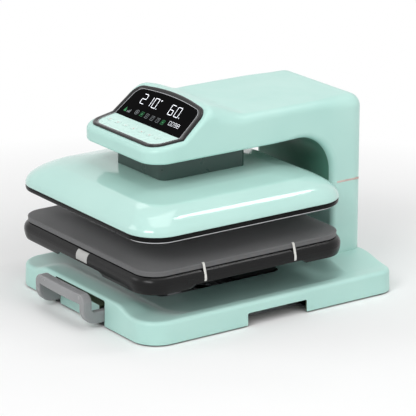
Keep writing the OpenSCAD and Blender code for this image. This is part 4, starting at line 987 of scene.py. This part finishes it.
# Tray, pad and tapes
# notch: how far the skirt's lower edge is raised, between which y at the sides and up to which x at the ends
# padPull: how far the sides are drawn in and over which inset; padWave: height and lengths of the waves
# pad: inset and share of the thickness up its edge; tapePath: x and z up the side; tapeSection: along and out
tray = {"low": 84, "top": 111.5, "corner": 45, "support": 108.5, "notch": (6.0, 83, 307, 69), "notchRun": 9,
        "notchAt": (180, 140), "padLow": 112.5, "padThick": 10, "padInset": 6.5, "padMiddle": 197, "padHalf": 190,
        "padPull": (0.7, 20), "padWave": (0.12, 37, 29),
        "lip": [(6.4, 0.3), (5.8, 0), (4.2, 0), (3.5, 0.25)], "insideInset": 9, "topInset": 14,
        "section": [(3.2, 0.8), (1.4, 6), (0.3, 12), (0, 16), (0.8, 20.5), (3.2, 24.5), (7, 27.5)],
        "pad": [(1.5, 0), (0.6, 0.05), (0.2, 0.15), (0.45, 0.35), (0.5, 0.5), (0.2, 0.65), (0, 0.74), (0.3, 0.8),
                (1, 0.85), (2, 0.89), (3.2, 0.92), (6, 0.945), (12, 0.96), (20, 0.972), (34, 0.985), (55, 0.993),
                (90, 0.998), (130, 1)],
        "tapeY": (109, 283), "tapePath": [(199.6, 93.5), (200.1, 98), (199.6, 102), (198.4, 106), (197.2, 110),
                                          (195.9, 114), (194.6, 118), (193.6, 120.5), (192.3, 121.6), (190.4, 121.8)],
        "tapeSection": [(-2.2, 0.05), (-2.0, 0.4), (-1.2, 0.6), (1.2, 0.6), (2.0, 0.4), (2.2, 0.05)],
        "tagX": (-5, 32), "tagRise": (10, 27), "tagGap": 0.03, "tagSkin": (0.55, 0.1), "tapeLean": 0.25}


def trayLoop(inset):
    return platenPlan(inset, tray["corner"] - inset, None, 24, 64, 64)


def skirtNotch(x, y):
    rise, y0, y1, endX = tray["notch"]
    sideFrom, endsTo = tray["notchAt"]
    side = ramp(min(y - y0, y1 - y) / tray["notchRun"]) if abs(x) > sideFrom else 0.0
    ends = ramp((endX - abs(x)) / tray["notchRun"]) if abs(x) < endsTo else 0.0
    return rise * ease(0, 1, max(side, ends))


def skirtRing(inset, height):
    low = tray["low"]
    return [(x, y, max(low + height, low + skirtNotch(x, y) + height * 0.15)) for x, y in trayLoop(inset)]


def buildTray():
    rings = [level(trayLoop(tray["insideInset"]), tray["support"])]
    rings += [skirtRing(i, z) for i, z in tray["lip"] + refine(tray["section"])]
    rings.append(level(trayLoop(tray["topInset"]), tray["top"]))
    dress(makeSkin("drawerTrayShell", rings, sharp=40), "drawer", "trayBlack", "tray_black", "drawer_tray")


# Foam pad: rolled edge, sides drawn in a little between the corners, and faint waves on top
def padPoint(x, y, inset, part):
    middle, half = tray["padMiddle"], tray["padHalf"]
    (most, fade), (wave, waveX, waveY) = tray["padPull"], tray["padWave"]
    inCorner = min(1, abs(x) / half) ** 2 * min(1, abs(y - middle) / half) ** 2
    pull = most * max(0, 1 - inset / fade) * (1 - inCorner) * math.sin(math.pi * min(part, 1))
    dip = min(wave * math.sin(x / waveX) * math.sin(y / waveY), 0.0) if part > 0.95 else 0.0
    shrink = 1 - pull / platen["half"]
    return (x * shrink, middle + (y - middle) * shrink, tray["padLow"] + tray["padThick"] * part + dip)


def buildPad():
    rings = []
    for i, part in tray["pad"]:
        inset = tray["padInset"] + i
        rings.append([padPoint(x, y, i, part) for x, y in platenPlan(inset, max(12, tray["corner"] - inset))])
    pad = makeSkin("pressingPad", rings, sharp=60)
    dress(pad, "drawer", "padFoam", "pad_silicone", "silicone_pad")


# White tapes drawn tight from the tray's sides over the pad's edge, and the blank tag in front
def buildTapes():
    for number, (side, y) in enumerate([(s, y) for s in (-1, 1) for y in tray["tapeY"]]):
        rings = [[(side * (x + t), y + w, z + t * tray["tapeLean"]) for w, t in tray["tapeSection"]]
                 for x, z in tray["tapePath"]]
        tape = makeSkin(f"padTape{number + 1}", rings, sharp=70)
        dress(tape, "drawer", "whiteTape", "white_tape", *(("pad_straps",) if number == 0 else ()))
    (tagX, tagWide), (tagLow, tagTop), (out, up) = tray["tagX"], tray["tagRise"], tray["tagSkin"]
    across = [tagX + tagWide * k / 8 for k in range(9)]
    face = platen["y0"] - tray["tagGap"]
    front = [(face + i, tray["low"] + z) for i, z in refine(tray["section"][1:]) if tagLow < z < tagTop]
    rings = [[(x, y, z) for x in across] + [(x, y - out, z + up) for x in reversed(across)] for y, z in front]
    dress(makeSkin("trayTag", rings, sharp=50), "drawer", "tagFilm", "white_tape", "pad_tag")


buildTray()
buildPad()
buildTapes()
print("tray, pad and tapes built")

# Handle: a bowed grip that turns down into two hooked legs
handle = {"legX": 66.5, "leg": (6.5, 10.0), "legY": (18.0, 10, 2), "legZ": 19.0, "hook": 16.0, "turn": 7.5, "grip": 8.5,
          "gripZ": 51.0, "bow": 1.5, "reach": 40.0, "square": 0.28, "sides": 40}


# Stations from a leg's end to the grip's middle: centre, two directions across and half sizes along them
def handleStations():
    x, gripZ, legZ, grip = handle["legX"], handle["gripZ"], handle["legZ"], handle["grip"]
    hook, turn, bow, (lx, lz) = handle["hook"], handle["turn"], handle["bow"], handle["leg"]
    gripY = grip + bow - handle["reach"]
    made = [((x, y, legZ), (1, 0, 0), (0, 0, -1), (lx, lz)) for y in handle["legY"]]
    for a in range(0, 91, 6):
        c, s = polar(a)
        made.append(((x, gripY + hook * (1 - s), legZ + hook * (1 - c)), (1, 0, 0), (0, -s, -c),
                     (lx, lz + (grip - lz) * a / 90)))
    for a in range(6, 91, 6):
        c, s = polar(a)
        made.append(((x - turn * (1 - c), gripY, gripZ - turn + turn * s), (c, 0, s), (0, -1, 0),
                     (lx + (grip - lx) * a / 90, grip)))
    for k in range(1, 9):
        gx = (x - turn) * (1 - k / 8)
        bowed = gripY - bow * (1 - (gx / (x - turn)) ** 2)
        made.append(((gx, bowed, gripZ), (0, 0, 1), (0, -1, 0), (grip, grip)))
    return made


def buildHandle():
    half, sides = handleStations(), handle["sides"]
    mirrored = [((-p[0], p[1], p[2]), (-u[0], u[1], u[2]), v, size) for p, u, v, size in reversed(half[:-1])]
    # round section drawn out towards a square
    section = [[math.copysign(abs(part) ** handle["square"], part) for part in polar(360 * k / sides)]
               for k in range(sides)]
    rings = [[tuple(p[n] + u[n] * a * c + v[n] * b * s for n in range(3)) for c, s in section]
             for p, u, v, (a, b) in half + mirrored]
    dress(makeSkin("pullHandleBar", rings, sharp=50), "drawer", "handleGrey", "handle_grey", "pull_handle")


buildHandle()
print("handle built")

# Every CAD node that still shows gets its finish by material slot
slotFinish = {
    "mint_shell": "mintSatin", "key_panel_mint": "paleMint", "key_white": "keyWhite", "bezel_graphite": "graphite",
    "display_black": "displayBlack", "neck_plastic": "neckGreen", "rim_black": "rimBlack", "tray_black": "trayBlack",
    "black_plastic": "satinBlack", "handle_grey": "handleGrey", "pad_silicone": "padFoam", "black_rubber": "footRubber",
    "white_tape": "whiteTape", "plate_aluminium": "castAluminium", "plate_steel": "zincSheet",
    "bright_steel": "groundSteel", "trim_metal": "warmTrim", "bronze": "bearingBronze", "circuit_board": "boardGreen",
    "heater_rod": "oxidisedRod", "insulation": "fibreBoard"}
for row in frame["record"]["subparts"]:
    node = frame["nodes"][row["node"]]
    node.data.materials.clear()
    node.data.materials.append(finishes[slotFinish[row["material_slot"]]])
print("frame nodes dressed")

# Floor, soft lights and a white surround; lamps: place, target, size and power
studio = {"floorHalf": 14, "floor": 0.955, "far": 0.97, "fade": (0.42, 0.95), "surround": (0.32, 1.0),
          "lamps": {"keyPanel": ((1.4, -2.6, 2.4), (0.0, 0.0, 0.12), (1.7, 1.3), 50.0),
                    "sidePanel": ((2.5, 0.2, 2.0), (0.0, 0.1, 0.1), (2.4, 2.0), 27.0),
                    "fillPanel": ((-1.8, -2.6, 1.9), (0.0, 0.0, 0.12), (1.8, 1.4), 15.0),
                    "streakPanel": ((0.45, 0.84, 1.51), (0.195, -0.03, 0.19), (0.16, 0.34), 2.2),
                    "creasePanel": ((-1.72, 0.55, 2.03), (0.0, -0.05, 0.33), (1.1, 0.45), 2.0),
                    "topPanel": ((0.1, 0.3, 3.1), (0.0, 0.0, 0.2), (2.0, 2.0), 22.0)},
          "unmirrored": ("sidePanel",)}


def seenRays(tree):
    path = addNode(tree, "ShaderNodeLightPath").outputs
    seen = addMath(tree, "MAXIMUM", path["Is Camera Ray"], path["Is Glossy Ray"])
    return addMath(tree, "MAXIMUM", seen, path["Is Transmission Ray"])


def floorFinish(tree):
    tone = useGroup(tree, mouldGrain, {"Grain Scale": 700.0, "Tone Scale": 2.0})["Tone"]
    return {"Base Color": addLayers(tree, studio["floor"], (tone, studio["far"])), "Roughness": 0.9,
            "Specular IOR Level": 0.1}


def buildFloor():
    half = studio["floorHalf"]
    mesh = bpy.data.meshes.new("floorSheet")
    mesh.from_pydata(level(boxCorners(-half, -half, half, half), 0), [], [(0, 1, 2, 3)])
    floor = bpy.data.objects.new("floorSheet", mesh)
    scene.collection.objects.link(floor)
    material = makeFinish("floorPaper", floorFinish, ())
    tree = material.node_tree
    # plain paper round the object, which takes its shadow, and white further off
    away = addNode(tree, "ShaderNodeVectorMath", {0: objectPlace(tree)}, operation="LENGTH").outputs["Value"]
    far = addProduct(tree, addRange(tree, away, *studio["fade"]), seenRays(tree))
    paper, white = tree.nodes["Principled BSDF"], addNode(tree, "ShaderNodeEmission", {"Strength": 1.0})
    blend = addNode(tree, "ShaderNodeMixShader", {0: far, 1: paper.outputs[0], 2: white.outputs[0]})
    fill(tree, tree.nodes["Material Output"], {"Surface": blend.outputs[0]})
    mesh.materials.append(material)


def buildLights():
    for name, (place, target, size, power) in studio["lamps"].items():
        data = bpy.data.lights.new(name, "AREA")
        data.shape, data.size, data.size_y, data.energy = "RECTANGLE", size[0], size[1], power
        lamp = bpy.data.objects.new(name, data)
        lamp.location = place
        lamp.rotation_euler = (Vector(target) - Vector(place)).to_track_quat("-Z", "Y").to_euler()
        lamp.visible_glossy = name not in studio["unmirrored"]
        scene.collection.objects.link(lamp)
    world = bpy.data.worlds.new("whiteSurround")
    world.use_nodes = True
    scene.world = world
    tree = world.node_tree
    # white where it is seen or mirrored, dimmer where it lights the part
    strength = addRange(tree, seenRays(tree), 0.0, 1.0, *studio["surround"])
    fill(tree, tree.nodes["Background"], {"Color": (1, 1, 1, 1), "Strength": strength})


buildFloor()
buildLights()
print("studio built")
